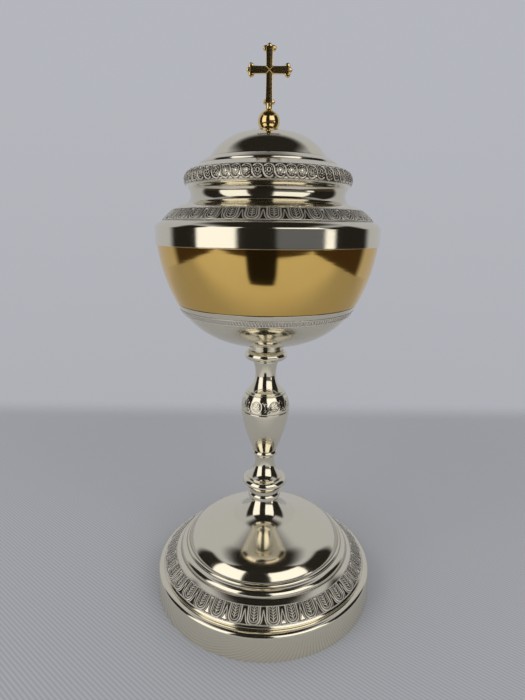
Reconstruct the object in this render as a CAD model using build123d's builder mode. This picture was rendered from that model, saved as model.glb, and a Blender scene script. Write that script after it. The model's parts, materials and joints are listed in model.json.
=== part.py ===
from build123d import *
import os
from math import acos, asin, atan2, cos, degrees, radians, sin, sqrt, tan

# Covered ciborium: a spun foot, a turned stem on one tie rod, a gilt cup in a calyx, and a lift-off lid.
# Every round piece is a profile in (radius, height) turned about Z. Lengths are in millimetres.

# Sheet metal and fits
foot_sheet = 0.9
lid_sheet = 0.9
cup_sheet = 0.9
calyx_sheet = 0.8
nesting_gap = 0.1
thread_gap = 0.05
rod_gap = 0.3
bezel_gap = 0.3

# Rolled ornament strips, soldered half into a shallow seat
strip_seat = 0.3
strip_proud = 0.25

# Foot
foot_radius = 52.5
foot_flange = 3.0
foot_wall_height = 11.0
foot_wall_taper = 0.4
foot_shoulder_round = 1.8
foot_ledge = 0.9
foot_seat = 1.0
foot_riser = 1.1
foot_slope_width = 8.6
foot_slope_rise = 6.8
foot_slope_bulge = 0.5
foot_leaf_low_inset = 1.6
foot_leaf_high_inset = 2.6
foot_step_riser = 0.3
foot_step_round = 2.6
foot_step_ledge = 0.3
foot_bead_riser = 0.1
foot_bead_round = 1.1
foot_bead_ledge = 0.2
foot_dome_riser = 0.3
foot_dome_edge_round = 10.5
foot_dome_edge_lean = 22.0
foot_dome_edge_turn = 60.0
foot_dome_round = 33.0
foot_dome_slope = 18.5
foot_neck_radius = 6.25
foot_neck_flare = 13.0
foot_neck_rise = 20.9

# Lower collar
lower_collar_foot_radius = 7.7
lower_collar_foot_height = 1.4
lower_collar_shoulder = 1.5
lower_collar_step_radius = 7.0
lower_collar_step_height = 1.9
lower_collar_flare = 1.6
lower_collar_radius = 10.5
lower_collar_round = 2.4
lower_collar_ring_height = 4.4

# Lower spool
lower_spool_foot_radius = 8.5
lower_spool_foot_height = 0.6
lower_spool_waist_radius = 4.5
lower_spool_waist_height = 8.2
lower_spool_top_radius = 4.8
lower_spool_height = 10.8

# Knop
knop_bead_neck_radius = 5.0
knop_bead_radius = 5.95
knop_bead_height = 2.9
knop_groove_radius = 5.4
knop_body_radius = 11.1
knop_body_height = 19.0
knop_body_bulge = 0.7
knop_top_radius = 9.2
knop_shoulder_height = 9.7
knop_rim_height = 0.6

# Upper spool
upper_spool_foot_radius = 8.3
upper_spool_foot_height = 0.6
upper_spool_waist_radius = 4.75
upper_spool_waist_height = 8.4
upper_spool_top_radius = 5.9
upper_spool_height = 14.4

# Upper collar
upper_collar_foot_radius = 6.3
upper_collar_foot_height = 0.9
upper_collar_radius = 9.75
upper_collar_round = 2.15
upper_collar_neck_height = 3.8

# Bowl: a round bottom that runs on into a steeper wall
bowl_flat_radius = 9.0
bowl_round = 34.0
calyx_rim_angle = 27.4
cup_wall_round = 69.5
cup_wall_height = 24.2
calyx_bead_angle = 34.4
calyx_bead_width = 2.5

# Fastening of the cup
boss_flange_radius = 8.0
boss_flange = 1.0
boss_shank_radius = 4.2
boss_shank_length = 6.0
rod_radius = 2.5
rod_engagement = 4.5
foot_washer_radius = 17.0
foot_washer_thickness = 1.5
foot_nut_flats = 8.0
foot_nut_height = 4.0
foot_nut_ease = 0.6
rod_tail = 1.2
rod_tail_ease = 0.5

# Lid
lid_overhang = 0.75
lid_rim_height = 7.0
lid_rim_edge = 0.4
lid_shoulder_width = 3.1
lid_shoulder_rise = 2.5
lid_rim_lip = 0.3
lid_skirt_depth = 2.1
lid_shelf_thickness = 0.9
lid_slope_rise = 6.2
lid_slope_bulge = 0.45
lid_leaf_low_inset = 0.7
lid_leaf_high_inset = 3.0
lid_ledge = 0.3
lid_neck_radius = 32.25
lid_cove_round = 4.1
lid_torus_overhang = 2.4
lid_torus_round = 4.3
lid_scroll_low_angle = -28.0
lid_scroll_high_angle = 60.0
lid_torus_top_angle = 62.0
lid_cone_length = 6.2
lid_dome_ledge = 1.4
lid_crown_radius = 6.0
lid_dome_rise = 12.5
lid_bezel_depth = 5.0
lid_bezel_sheet = 0.8
lid_bezel_overlap = 3.6

# Finial
ball_radius = 4.5
ball_seat_depth = 3.9
cross_neck_radius = 1.75
cross_neck_waist = 1.25
cross_neck_waist_height = 0.8
cross_foot_height = 3.1
cross_shaft_length = 11.6
cross_top_length = 9.7
cross_half_span = 9.15
cross_bar_width = 2.8
cross_bar_edge = 1.6
cross_ridge = 1.8
bud_radius = 1.25
bud_thickness = 1.4
bud_bevel = 0.35
bud_spread = 1.4
bud_setback = 2.0
shank_radius = 1.5
shank_gap = 0.2
finial_washer_radius = 4.0
finial_washer_thickness = 0.8
finial_nut_flats = 5.5
finial_nut_height = 2.4
finial_nut_ease = 0.45
shank_tail = 0.8


def bulged_arc(low, high, rise):
    """Centre, radius, start and end angle of the arc that bulges outwards between two points."""
    start = Vector(*low)
    end = Vector(*high)
    chord = end - start
    radius = chord.length**2 / (8 * rise) + rise / 2
    inward = Vector(-chord.Y, chord.X).normalized()
    centre = (start + end) / 2 + inward * (radius - rise)
    return centre, radius, angle_from(centre, start), angle_from(centre, end)


def angle_from(centre, point):
    """Direction from a centre to a point, in degrees."""
    return degrees(atan2(point.Y - centre.Y, point.X - centre.X))


def heading(angle):
    """Unit vector at an angle in degrees from the outward direction."""
    return Vector(cos(radians(angle)), sin(radians(angle)))


def crowned_arc(base, crown):
    """Centre, radius and start angle of the arc from a dome's base to its level crown."""
    run = base.X - crown.X
    rise = crown.Y - base.Y
    radius = (run**2 + rise**2) / (2 * rise)
    centre = Vector(crown.X, crown.Y - radius)
    return centre, radius, angle_from(centre, base)


def ornament_strip(name, centre, radius, low_angle, high_angle):
    """A rolled strip that lies along an arc of its shell, part sunk and part proud."""
    span = high_angle - low_angle
    with BuildPart() as strip:
        with BuildSketch(Plane.XZ):
            with BuildLine():
                back = CenterArc(centre, radius - strip_seat, low_angle, span)
                face = CenterArc(centre, radius + strip_proud, low_angle, span)
                Line(back @ 0, face @ 0)
                Line(back @ 1, face @ 1)
            make_face()
        revolve(axis=Axis.Z)
    strip.part.label = name
    return strip.part


def washer(name, bottom, radius, bore, thickness):
    """A flat round washer with its lower face at a height."""
    with BuildPart() as ring:
        with BuildSketch(Plane.XY.offset(bottom)):
            Circle(radius)
            Circle(bore, mode=Mode.SUBTRACT)
        extrude(amount=thickness)
    ring.part.label = name
    return ring.part


def hex_nut(name, bottom, flats, bore, height, ease):
    """A hexagon nut with its lower face at a height and its outer corners eased."""
    with BuildPart() as nut:
        with BuildSketch(Plane.XY.offset(bottom)):
            RegularPolygon(radius=flats / 2, side_count=6, major_radius=False)
            Circle(bore, mode=Mode.SUBTRACT)
        extrude(amount=height)
        chamfer(nut.edges().group_by(Axis.Z)[0].filter_by(GeomType.LINE), length=ease)
    nut.part.label = name
    return nut.part


# Foot: heights and radii up the profile
foot_top_radius = foot_radius - foot_wall_taper
foot_ledge_level = foot_wall_height + foot_shoulder_round
foot_riser_radius = foot_top_radius - foot_shoulder_round - foot_ledge
foot_slope_low = Vector(foot_riser_radius, foot_ledge_level + foot_riser)
foot_slope_high = Vector(foot_slope_low.X - foot_slope_width, foot_slope_low.Y + foot_slope_rise)
foot_step_level = foot_slope_high.Y + foot_step_riser
foot_step_top = foot_step_level + foot_step_round
foot_bead_radius = foot_slope_high.X - foot_step_round - foot_step_ledge
foot_bead_level = foot_step_top + foot_bead_riser
foot_bead_top = foot_bead_level + foot_bead_round
foot_dome_base = Vector(
    foot_bead_radius - foot_bead_round - foot_bead_ledge, foot_bead_top + foot_dome_riser
)

# Foot dome: a tight edge, a flatter crown, a cone, and a flare up to the neck, each tangent to the next
foot_cone_lean = 90 - foot_dome_slope
foot_edge_centre = foot_dome_base - heading(foot_dome_edge_lean) * foot_dome_edge_round
foot_edge_end = foot_edge_centre + heading(foot_dome_edge_turn) * foot_dome_edge_round
foot_dome_centre = foot_edge_end - heading(foot_dome_edge_turn) * foot_dome_round
foot_dome_end = foot_dome_centre + heading(foot_cone_lean) * foot_dome_round
foot_flare_radius = foot_neck_radius + foot_neck_flare
foot_cone_radius = foot_flare_radius - foot_neck_flare * cos(radians(foot_cone_lean))
foot_cone_fall = tan(radians(foot_dome_slope))
foot_cone_level = foot_dome_end.Y + foot_cone_fall * (foot_dome_end.X - foot_cone_radius)
foot_flare_centre = Vector(foot_cone_radius, foot_cone_level) + heading(foot_cone_lean) * foot_neck_flare
foot_top = foot_dome_base.Y + foot_neck_rise
foot_neck_lean = degrees(asin((foot_flare_centre.Y - foot_top) / foot_neck_flare))
rod_hole_radius = rod_radius + rod_gap

# Leaf strip round the foot's slope
slope_centre, slope_radius, slope_start, slope_end = bulged_arc(
    foot_slope_low, foot_slope_high, foot_slope_bulge
)
foot_leaf_band = ornament_strip(
    "foot_leaf_band",
    slope_centre,
    slope_radius,
    slope_start + degrees(foot_leaf_low_inset / slope_radius),
    slope_end - degrees(foot_leaf_high_inset / slope_radius),
)

# Foot rim: a rolled base band with a turned-in rest flange below and a seat for the shell above
foot_seat_radius = foot_riser_radius - foot_sheet - foot_seat
with BuildPart() as foot_rim:
    with BuildSketch(Plane.XZ):
        with BuildLine():
            flange = Line((foot_radius - foot_flange, 0), (foot_radius, 0))
            wall = Line(flange @ 1, (foot_top_radius, foot_wall_height))
            shoulder = CenterArc(
                (foot_top_radius - foot_shoulder_round, foot_wall_height), foot_shoulder_round, 0, 90
            )
            ledge = Line(shoulder @ 1, (foot_seat_radius, foot_ledge_level))
            offset(amount=foot_sheet, side=Side.LEFT, kind=Kind.INTERSECTION)
        make_face()
    revolve(axis=Axis.Z)
foot_rim.part.label = "foot_rim"

# Foot shell: one spun sheet from its seat on the rim to the top of the neck
with BuildPart() as foot_shell:
    with BuildSketch(Plane.XZ):
        with BuildLine():
            riser = Line((foot_riser_radius, foot_ledge_level), foot_slope_low)
            slope = CenterArc(slope_centre, slope_radius, slope_start, slope_end - slope_start)
            step_riser = Line(slope @ 1, (foot_slope_high.X, foot_step_level))
            step = CenterArc(
                (foot_slope_high.X - foot_step_round, foot_step_level), foot_step_round, 0, 90
            )
            step_ledge = Line(step @ 1, (foot_bead_radius, foot_step_top))
            bead_riser = Line(step_ledge @ 1, (foot_bead_radius, foot_bead_level))
            bead = CenterArc(
                (foot_bead_radius - foot_bead_round, foot_bead_level), foot_bead_round, 0, 90
            )
            bead_ledge = Line(bead @ 1, (foot_dome_base.X, foot_bead_top))
            dome_riser = Line(bead_ledge @ 1, foot_dome_base)
            edge = CenterArc(
                foot_edge_centre,
                foot_dome_edge_round,
                foot_dome_edge_lean,
                foot_dome_edge_turn - foot_dome_edge_lean,
            )
            dome = CenterArc(
                foot_dome_centre,
                foot_dome_round,
                foot_dome_edge_turn,
                foot_cone_lean - foot_dome_edge_turn,
            )
            flare = CenterArc(
                foot_flare_centre, foot_neck_flare, 180 + foot_cone_lean, foot_neck_lean - foot_cone_lean
            )
            cone = Line(dome @ 1, flare @ 0)
            top = Line(flare @ 1, (rod_hole_radius, foot_top))
            offset(amount=foot_sheet, side=Side.LEFT, kind=Kind.INTERSECTION)
        make_face()
    revolve(axis=Axis.Z)
    add(foot_leaf_band, mode=Mode.SUBTRACT)
foot_shell.part.label = "foot_shell"

# Lower collar: a shouldered foot, a short step and a full round ring, seated on the foot's neck
collar_step_base = foot_top + lower_collar_foot_height + lower_collar_shoulder
collar_step_top = collar_step_base + lower_collar_step_height
collar_ring_bottom = collar_step_top + lower_collar_flare
lower_collar_top = collar_ring_bottom + lower_collar_ring_height
collar_ring_middle = (collar_ring_bottom + lower_collar_top) / 2
collar_ring_centre = lower_collar_radius - lower_collar_round
collar_ring_angle = degrees(asin(lower_collar_ring_height / 2 / lower_collar_round))
with BuildPart() as lower_collar:
    with BuildSketch(Plane.XZ):
        with BuildLine():
            base = Line((rod_hole_radius, foot_top), (lower_collar_foot_radius, foot_top))
            foot_band = Line(base @ 1, (lower_collar_foot_radius, foot_top + lower_collar_foot_height))
            shoulder = TangentArc(
                foot_band @ 1, (lower_collar_step_radius, collar_step_base), tangent=(0, 1)
            )
            step_band = Line(shoulder @ 1, (lower_collar_step_radius, collar_step_top))
            ring = CenterArc(
                (collar_ring_centre, collar_ring_middle),
                lower_collar_round,
                -collar_ring_angle,
                2 * collar_ring_angle,
            )
            Line(step_band @ 1, ring @ 0)
            collar_top = Line(ring @ 1, (rod_hole_radius, lower_collar_top))
            Line(collar_top @ 1, base @ 0)
        make_face()
    revolve(axis=Axis.Z)
lower_collar.part.label = "lower_collar"

# Lower spool: a foot ring drawn in to a waist, widening again below the knop
lower_spool_top = lower_collar_top + lower_spool_height
lower_spool_waist = lower_collar_top + lower_spool_waist_height
with BuildPart() as lower_spool:
    with BuildSketch(Plane.XZ):
        with BuildLine():
            base = Line((rod_hole_radius, lower_collar_top), (lower_spool_foot_radius, lower_collar_top))
            foot_band = Line(
                base @ 1, (lower_spool_foot_radius, lower_collar_top + lower_spool_foot_height)
            )
            waist = TangentArc(
                (lower_spool_waist_radius, lower_spool_waist), foot_band @ 1, tangent=(0, -1)
            )
            flare = TangentArc(waist @ 0, (lower_spool_top_radius, lower_spool_top), tangent=(0, 1))
            spool_top = Line(flare @ 1, (rod_hole_radius, lower_spool_top))
            Line(spool_top @ 1, base @ 0)
        make_face()
    revolve(axis=Axis.Z)
lower_spool.part.label = "lower_spool"

# Knop: a bead, then a long pear-shaped body with a round shoulder and a rim for the upper spool
knop_groove = lower_spool_top + knop_bead_height
knop_belly = knop_groove + knop_body_height
knop_rim = knop_belly + knop_shoulder_height
knop_top = knop_rim + knop_rim_height
with BuildPart() as knop:
    with BuildSketch(Plane.XZ):
        with BuildLine():
            base = Line((rod_hole_radius, lower_spool_top), (knop_bead_neck_radius, lower_spool_top))
            bead = ThreePointArc(
                base @ 1,
                (knop_bead_radius, lower_spool_top + knop_bead_height / 2),
                (knop_groove_radius, knop_groove),
            )
            body_centre, body_radius, body_start, body_end = bulged_arc(
                bead @ 1, (knop_body_radius, knop_belly), knop_body_bulge
            )
            body = CenterArc(body_centre, body_radius, body_start, body_end - body_start)
            shoulder = TangentArc(body @ 1, (knop_top_radius, knop_rim), tangent=body % 1)
            rim = Line(shoulder @ 1, (knop_top_radius, knop_top))
            knop_cap = Line(rim @ 1, (rod_hole_radius, knop_top))
            Line(knop_cap @ 1, base @ 0)
        make_face()
    revolve(axis=Axis.Z)
knop.part.label = "knop"

# Upper spool: the lower one drawn longer
upper_spool_top = knop_top + upper_spool_height
upper_spool_waist = knop_top + upper_spool_waist_height
with BuildPart() as upper_spool:
    with BuildSketch(Plane.XZ):
        with BuildLine():
            base = Line((rod_hole_radius, knop_top), (upper_spool_foot_radius, knop_top))
            foot_band = Line(base @ 1, (upper_spool_foot_radius, knop_top + upper_spool_foot_height))
            waist = TangentArc(
                (upper_spool_waist_radius, upper_spool_waist), foot_band @ 1, tangent=(0, -1)
            )
            flare = TangentArc(waist @ 0, (upper_spool_top_radius, upper_spool_top), tangent=(0, 1))
            spool_top = Line(flare @ 1, (rod_hole_radius, upper_spool_top))
            Line(spool_top @ 1, base @ 0)
        make_face()
    revolve(axis=Axis.Z)
upper_spool.part.label = "upper_spool"

# Upper collar: a half-round ring under a short neck, bored out for the cup's boss
upper_ring_low = upper_spool_top + upper_collar_foot_height
upper_ring_middle = upper_ring_low + upper_collar_round
upper_ring_centre = upper_collar_radius - upper_collar_round
upper_collar_top = upper_ring_middle + upper_collar_round + upper_collar_neck_height
boss_shank_end = upper_collar_top - boss_shank_length
boss_bore_radius = boss_shank_radius + rod_gap
boss_bore_floor = boss_shank_end - rod_gap
with BuildPart() as upper_collar:
    with BuildSketch(Plane.XZ):
        with BuildLine():
            base = Line((rod_hole_radius, upper_spool_top), (upper_collar_foot_radius, upper_spool_top))
            foot_band = Line(base @ 1, (upper_collar_foot_radius, upper_ring_low))
            ring = CenterArc((upper_ring_centre, upper_ring_middle), upper_collar_round, -90, 180)
            Line(foot_band @ 1, ring @ 0)
            neck = Line(ring @ 1, (upper_ring_centre, upper_collar_top))
            collar_top = Line(neck @ 1, (boss_bore_radius, upper_collar_top))
            bore = Line(collar_top @ 1, (boss_bore_radius, boss_bore_floor))
            bore_floor = Line(bore @ 1, (rod_hole_radius, boss_bore_floor))
            Line(bore_floor @ 1, base @ 0)
        make_face()
    revolve(axis=Axis.Z)
upper_collar.part.label = "upper_collar"

# Bowl: the calyx's round bottom and the cup's steeper wall meet on one radial line at the calyx rim
bowl_bottom = upper_collar_top
round_centre = Vector(bowl_flat_radius, bowl_bottom + bowl_round)
rim_direction = Vector(cos(radians(calyx_rim_angle)), -sin(radians(calyx_rim_angle)))
calyx_rim = round_centre + rim_direction * bowl_round
wall_centre = calyx_rim - rim_direction * cup_wall_round
lip_level = calyx_rim.Y + cup_wall_height
calyx_floor = bowl_bottom + calyx_sheet
cup_base = calyx_floor + boss_flange


def wall_radius(level, inset):
    """Radius of the cup's wall at a height, a given depth inside its outer face."""
    return wall_centre.X + sqrt((cup_wall_round - inset) ** 2 - (wall_centre.Y - level) ** 2)


def wall_angle(level, inset):
    """Direction from the wall's centre to that point of the wall."""
    return degrees(asin((level - wall_centre.Y) / (cup_wall_round - inset)))


def base_angle(level, radius):
    """Direction from the bottom's centre to where an arc of this radius reaches a flat base."""
    return -90 + degrees(acos((round_centre.Y - level) / radius))


# Beaded wire round the calyx, below its rim
bead_half_angle = degrees(calyx_bead_width / 2 / bowl_round)
calyx_bead_wire = ornament_strip(
    "calyx_bead_wire",
    round_centre,
    bowl_round,
    -calyx_bead_angle - bead_half_angle,
    -calyx_bead_angle + bead_half_angle,
)

# Calyx: the silvered under-bowl, open in the middle for the boss
calyx_inner = bowl_round - calyx_sheet
with BuildPart() as calyx:
    with BuildSketch(Plane.XZ):
        with BuildLine():
            outer = CenterArc(round_centre, bowl_round, -90, 90 - calyx_rim_angle)
            inner = CenterArc(round_centre, calyx_inner, -90, 90 - calyx_rim_angle)
            Line(outer @ 1, inner @ 1)
            underside = Line(outer @ 0, (boss_bore_radius, bowl_bottom))
            hole = Line(underside @ 1, (boss_bore_radius, calyx_floor))
            Line(hole @ 1, inner @ 0)
        make_face()
    revolve(axis=Axis.Z)
    add(calyx_bead_wire, mode=Mode.SUBTRACT)
calyx.part.label = "calyx"

# Gilt cup: one spun sheet, jogged in below the calyx rim so that the two bowls lie flush
nested_outer = calyx_inner - nesting_gap
nested_inner = nested_outer - cup_sheet
cup_floor = cup_base + cup_sheet
outer_base_angle = base_angle(cup_base, nested_outer)
inner_base_angle = base_angle(cup_floor, nested_inner)
jog_low_angle = -calyx_rim_angle + degrees(cup_sheet / nested_inner)
jog_high_angle = -calyx_rim_angle + degrees(2 * cup_sheet / cup_wall_round)
with BuildPart() as gilt_cup:
    with BuildSketch(Plane.XZ):
        with BuildLine():
            outer_bottom = CenterArc(
                round_centre, nested_outer, outer_base_angle, -calyx_rim_angle - outer_base_angle
            )
            outer_wall = CenterArc(
                wall_centre, cup_wall_round, -calyx_rim_angle, calyx_rim_angle + wall_angle(lip_level, 0)
            )
            inner_wall = CenterArc(
                wall_centre,
                cup_wall_round - cup_sheet,
                jog_high_angle,
                wall_angle(lip_level, cup_sheet) - jog_high_angle,
            )
            inner_bottom = CenterArc(
                round_centre, nested_inner, inner_base_angle, jog_low_angle - inner_base_angle
            )
            Line(outer_bottom @ 1, outer_wall @ 0)
            Line(outer_wall @ 1, inner_wall @ 1)
            Line(inner_wall @ 0, inner_bottom @ 1)
            floor = Line(inner_bottom @ 0, (0, cup_floor))
            axis_line = Line(floor @ 1, (0, cup_base))
            Line(axis_line @ 1, outer_bottom @ 0)
        make_face()
    revolve(axis=Axis.Z)
gilt_cup.part.label = "gilt_cup"

# Cup boss: soldered under the cup, its flange on the calyx floor and its shank down in the collar
rod_top = boss_shank_end + rod_engagement
with BuildPart() as cup_boss:
    with BuildSketch(Plane.XZ):
        with BuildLine():
            Polyline(
                (0, cup_base),
                (boss_flange_radius, cup_base),
                (boss_flange_radius, calyx_floor),
                (boss_shank_radius, calyx_floor),
                (boss_shank_radius, boss_shank_end),
                (rod_radius + thread_gap, boss_shank_end),
                (rod_radius + thread_gap, rod_top),
                (0, rod_top),
                close=True,
            )
        make_face()
    revolve(axis=Axis.Z)
cup_boss.part.label = "cup_boss"

# Washer, nut and tie rod that draw the whole stem together from under the foot
washer_cone_level = foot_cone_level - foot_cone_fall * (foot_washer_radius - foot_cone_radius)
washer_top = washer_cone_level - foot_sheet / cos(radians(foot_dome_slope))
washer_bottom = washer_top - foot_washer_thickness
nut_bottom = washer_bottom - foot_nut_height
foot_washer = washer(
    "foot_washer", washer_bottom, foot_washer_radius, rod_hole_radius, foot_washer_thickness
)
foot_nut = hex_nut(
    "foot_nut",
    nut_bottom,
    foot_nut_flats,
    rod_radius + thread_gap,
    foot_nut_height,
    foot_nut_ease,
)

rod_bottom = nut_bottom - rod_tail
with BuildPart() as tie_rod:
    with BuildSketch(Plane.XY.offset(rod_bottom)):
        Circle(rod_radius)
    extrude(amount=rod_top - rod_bottom)
    chamfer(tie_rod.edges().sort_by(Axis.Z)[0], length=rod_tail_ease)
tie_rod.part.label = "tie_rod"

# Lid: heights and radii up the profile
rim_radius = wall_radius(lip_level, 0) + lid_overhang
rim_bore = wall_radius(lip_level, cup_sheet) - bezel_gap
rim_top = lip_level + lid_rim_height
skirt_radius = rim_radius - lid_shoulder_width
slope_low_level = rim_top + lid_shoulder_rise
skirt_bottom = slope_low_level - lid_skirt_depth
lid_slope_high = Vector(lid_neck_radius + lid_cove_round + lid_ledge, slope_low_level + lid_slope_rise)
cove_centre = Vector(lid_neck_radius + lid_cove_round, lid_slope_high.Y + lid_cove_round)
torus_centre_radius = lid_neck_radius + lid_torus_overhang - lid_torus_round
torus_centre = Vector(
    torus_centre_radius,
    cove_centre.Y
    + sqrt((lid_torus_round + lid_cove_round) ** 2 - (cove_centre.X - torus_centre_radius) ** 2),
)
tangent_angle = angle_from(torus_centre, cove_centre)
cone_direction = Vector(-sin(radians(lid_torus_top_angle)), cos(radians(lid_torus_top_angle)))
torus_top = torus_centre + lid_torus_round * Vector(cone_direction.Y, -cone_direction.X)
cone_top = torus_top + lid_cone_length * cone_direction
lid_dome_base = Vector(cone_top.X - lid_dome_ledge, cone_top.Y)
lid_crown = Vector(lid_crown_radius, lid_dome_base.Y + lid_dome_rise)
lid_dome_centre, lid_dome_round, lid_dome_angle = crowned_arc(lid_dome_base, lid_crown)

# Rim band: a turned ring that rests on the cup's lip and carries the lid's skirt on a shelf
shelf_radius = skirt_radius - lid_sheet
shelf_bottom = skirt_bottom - lid_shelf_thickness
bezel_top = lip_level + lid_bezel_overlap
with BuildPart() as lid_rim_band:
    with BuildSketch(Plane.XZ):
        with BuildLine():
            Polyline(
                (rim_bore, lip_level),
                (rim_radius, lip_level),
                (rim_radius, rim_top - lid_rim_edge),
                (rim_radius - lid_rim_edge, rim_top),
                (skirt_radius + lid_rim_lip, slope_low_level),
                (skirt_radius, slope_low_level),
                (skirt_radius, skirt_bottom),
                (shelf_radius, skirt_bottom),
                (shelf_radius, shelf_bottom),
                (rim_bore, bezel_top),
                close=True,
            )
        make_face()
    revolve(axis=Axis.Z)
lid_rim_band.part.label = "lid_rim_band"

# Bezel: a thin ring inside the rim band that steps down into the cup
bezel_bottom = lip_level - lid_bezel_depth
bezel_foot_radius = wall_radius(bezel_bottom, cup_sheet) - bezel_gap
with BuildPart() as lid_bezel:
    with BuildSketch(Plane.XZ):
        with BuildLine():
            Polyline(
                (bezel_foot_radius, bezel_bottom),
                (rim_bore, lip_level),
                (rim_bore, bezel_top),
                (rim_bore - lid_bezel_sheet, bezel_top),
                (rim_bore - lid_bezel_sheet, lip_level),
                (bezel_foot_radius - lid_bezel_sheet, bezel_bottom),
                close=True,
            )
        make_face()
    revolve(axis=Axis.Z)
lid_bezel.part.label = "lid_bezel"

# Leaf strip round the lid's slope and scroll strip round its torus
leaf_centre, leaf_radius, leaf_start, leaf_end = bulged_arc(
    Vector(skirt_radius, slope_low_level), lid_slope_high, lid_slope_bulge
)
lid_leaf_band = ornament_strip(
    "lid_leaf_band",
    leaf_centre,
    leaf_radius,
    leaf_start + degrees(lid_leaf_low_inset / leaf_radius),
    leaf_end - degrees(lid_leaf_high_inset / leaf_radius),
)
lid_scroll_band = ornament_strip(
    "lid_scroll_band", torus_centre, lid_torus_round, lid_scroll_low_angle, lid_scroll_high_angle
)

# Lid shell: one spun sheet from its skirt over slope, cove, torus and dome to the finial's hole
shank_hole_radius = shank_radius + shank_gap
with BuildPart() as lid_shell:
    with BuildSketch(Plane.XZ):
        with BuildLine():
            skirt = Line((skirt_radius, skirt_bottom), (skirt_radius, slope_low_level))
            slope = CenterArc(leaf_centre, leaf_radius, leaf_start, leaf_end - leaf_start)
            cove = CenterArc(cove_centre, lid_cove_round, 270, tangent_angle - 90)
            Line(slope @ 1, cove @ 0)
            torus = CenterArc(
                torus_centre, lid_torus_round, tangent_angle, lid_torus_top_angle - tangent_angle
            )
            cone = Line(torus @ 1, cone_top)
            dome_ledge = Line(cone @ 1, lid_dome_base)
            dome = CenterArc(lid_dome_centre, lid_dome_round, lid_dome_angle, 90 - lid_dome_angle)
            crown = Line(dome @ 1, (shank_hole_radius, lid_crown.Y))
            offset(amount=lid_sheet, side=Side.LEFT, kind=Kind.INTERSECTION)
        make_face()
    revolve(axis=Axis.Z)
    add(lid_leaf_band, mode=Mode.SUBTRACT)
    add(lid_scroll_band, mode=Mode.SUBTRACT)
lid_shell.part.label = "lid_shell"

# Finial ball: flat below on the crown, flat above under the cross, drilled for the shank
ball_centre = lid_crown.Y + ball_seat_depth
ball_top = ball_centre + sqrt(ball_radius**2 - cross_neck_radius**2)
seat_angle = degrees(asin(ball_seat_depth / ball_radius))
top_angle = degrees(acos(cross_neck_radius / ball_radius))
with BuildPart() as finial_ball:
    with BuildSketch(Plane.XZ):
        with BuildLine():
            surface = CenterArc((0, ball_centre), ball_radius, -seat_angle, seat_angle + top_angle)
            seat = Line(surface @ 0, (shank_hole_radius, lid_crown.Y))
            bore = Line(seat @ 1, (shank_hole_radius, ball_top))
            Line(bore @ 1, surface @ 1)
        make_face()
    revolve(axis=Axis.Z)
finial_ball.part.label = "finial_ball"

# Washer and nut inside the crown
crown_underside = lid_crown.Y - lid_sheet
finial_washer_bottom = crown_underside - finial_washer_thickness
finial_nut_bottom = finial_washer_bottom - finial_nut_height
finial_washer = washer(
    "finial_washer",
    finial_washer_bottom,
    finial_washer_radius,
    shank_hole_radius,
    finial_washer_thickness,
)
finial_nut = hex_nut(
    "finial_nut",
    finial_nut_bottom,
    finial_nut_flats,
    shank_radius + thread_gap,
    finial_nut_height,
    finial_nut_ease,
)

# Cross: ridged bars that mitre where they meet, a trefoil of bevelled buds on each end, and a threaded shank
cross_foot = ball_top + cross_foot_height
cross_middle = cross_foot + cross_shaft_length
cross_top = cross_middle + cross_top_length
bar_section = [
    (cross_bar_width / 2, cross_bar_edge / 2),
    (0, cross_ridge / 2),
    (-cross_bar_width / 2, cross_bar_edge / 2),
    (-cross_bar_width / 2, -cross_bar_edge / 2),
    (0, -cross_ridge / 2),
    (cross_bar_width / 2, -cross_bar_edge / 2),
]
side_buds = [
    (along * (cross_half_span - bud_setback), 0, cross_middle + across * bud_spread)
    for along in (-1, 1)
    for across in (-1, 1)
]
upright_buds = [
    (across * bud_spread, 0, level)
    for across in (-1, 1)
    for level in (cross_foot, cross_top - bud_setback)
]
tip_buds = [
    (-cross_half_span + bud_radius, 0, cross_middle),
    (cross_half_span - bud_radius, 0, cross_middle),
    (0, 0, cross_top - bud_radius),
]
with BuildPart() as bud:
    with BuildSketch(Plane.XZ):
        Circle(bud_radius)
    extrude(amount=bud_thickness / 2, both=True)
    chamfer(bud.edges().filter_by(GeomType.CIRCLE), length=bud_bevel)
with BuildPart() as cross:
    with BuildSketch(Plane.XY.offset(cross_foot)):
        Polygon(*bar_section, align=None)
    extrude(amount=cross_top - bud_radius - cross_foot)
    with BuildSketch(Plane.YZ.offset(bud_radius - cross_half_span)):
        with Locations((0, cross_middle)):
            Polygon(*bar_section, rotation=90, align=None)
    extrude(amount=2 * (cross_half_span - bud_radius))
    with Locations(*side_buds, *upright_buds, *tip_buds):
        add(bud.part)
    with BuildSketch(Plane.XZ):
        with BuildLine():
            neck_base = Line((0, ball_top), (cross_neck_radius, ball_top))
            neck_lower = TangentArc(
                (cross_neck_waist, ball_top + cross_neck_waist_height), neck_base @ 1, tangent=(0, -1)
            )
            neck_upper = TangentArc(
                neck_lower @ 0,
                (bud_spread, cross_foot - bud_radius / 2),
                tangent=(0, 1),
            )
            neck_end = Line(neck_upper @ 1, (0, cross_foot))
            Line(neck_end @ 1, neck_base @ 0)
        make_face()
    revolve(axis=Axis.Z)
    with BuildSketch(Plane.XY.offset(finial_nut_bottom - shank_tail)):
        Circle(shank_radius)
    extrude(amount=ball_top - finial_nut_bottom + shank_tail)
cross.part.label = "cross"

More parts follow.
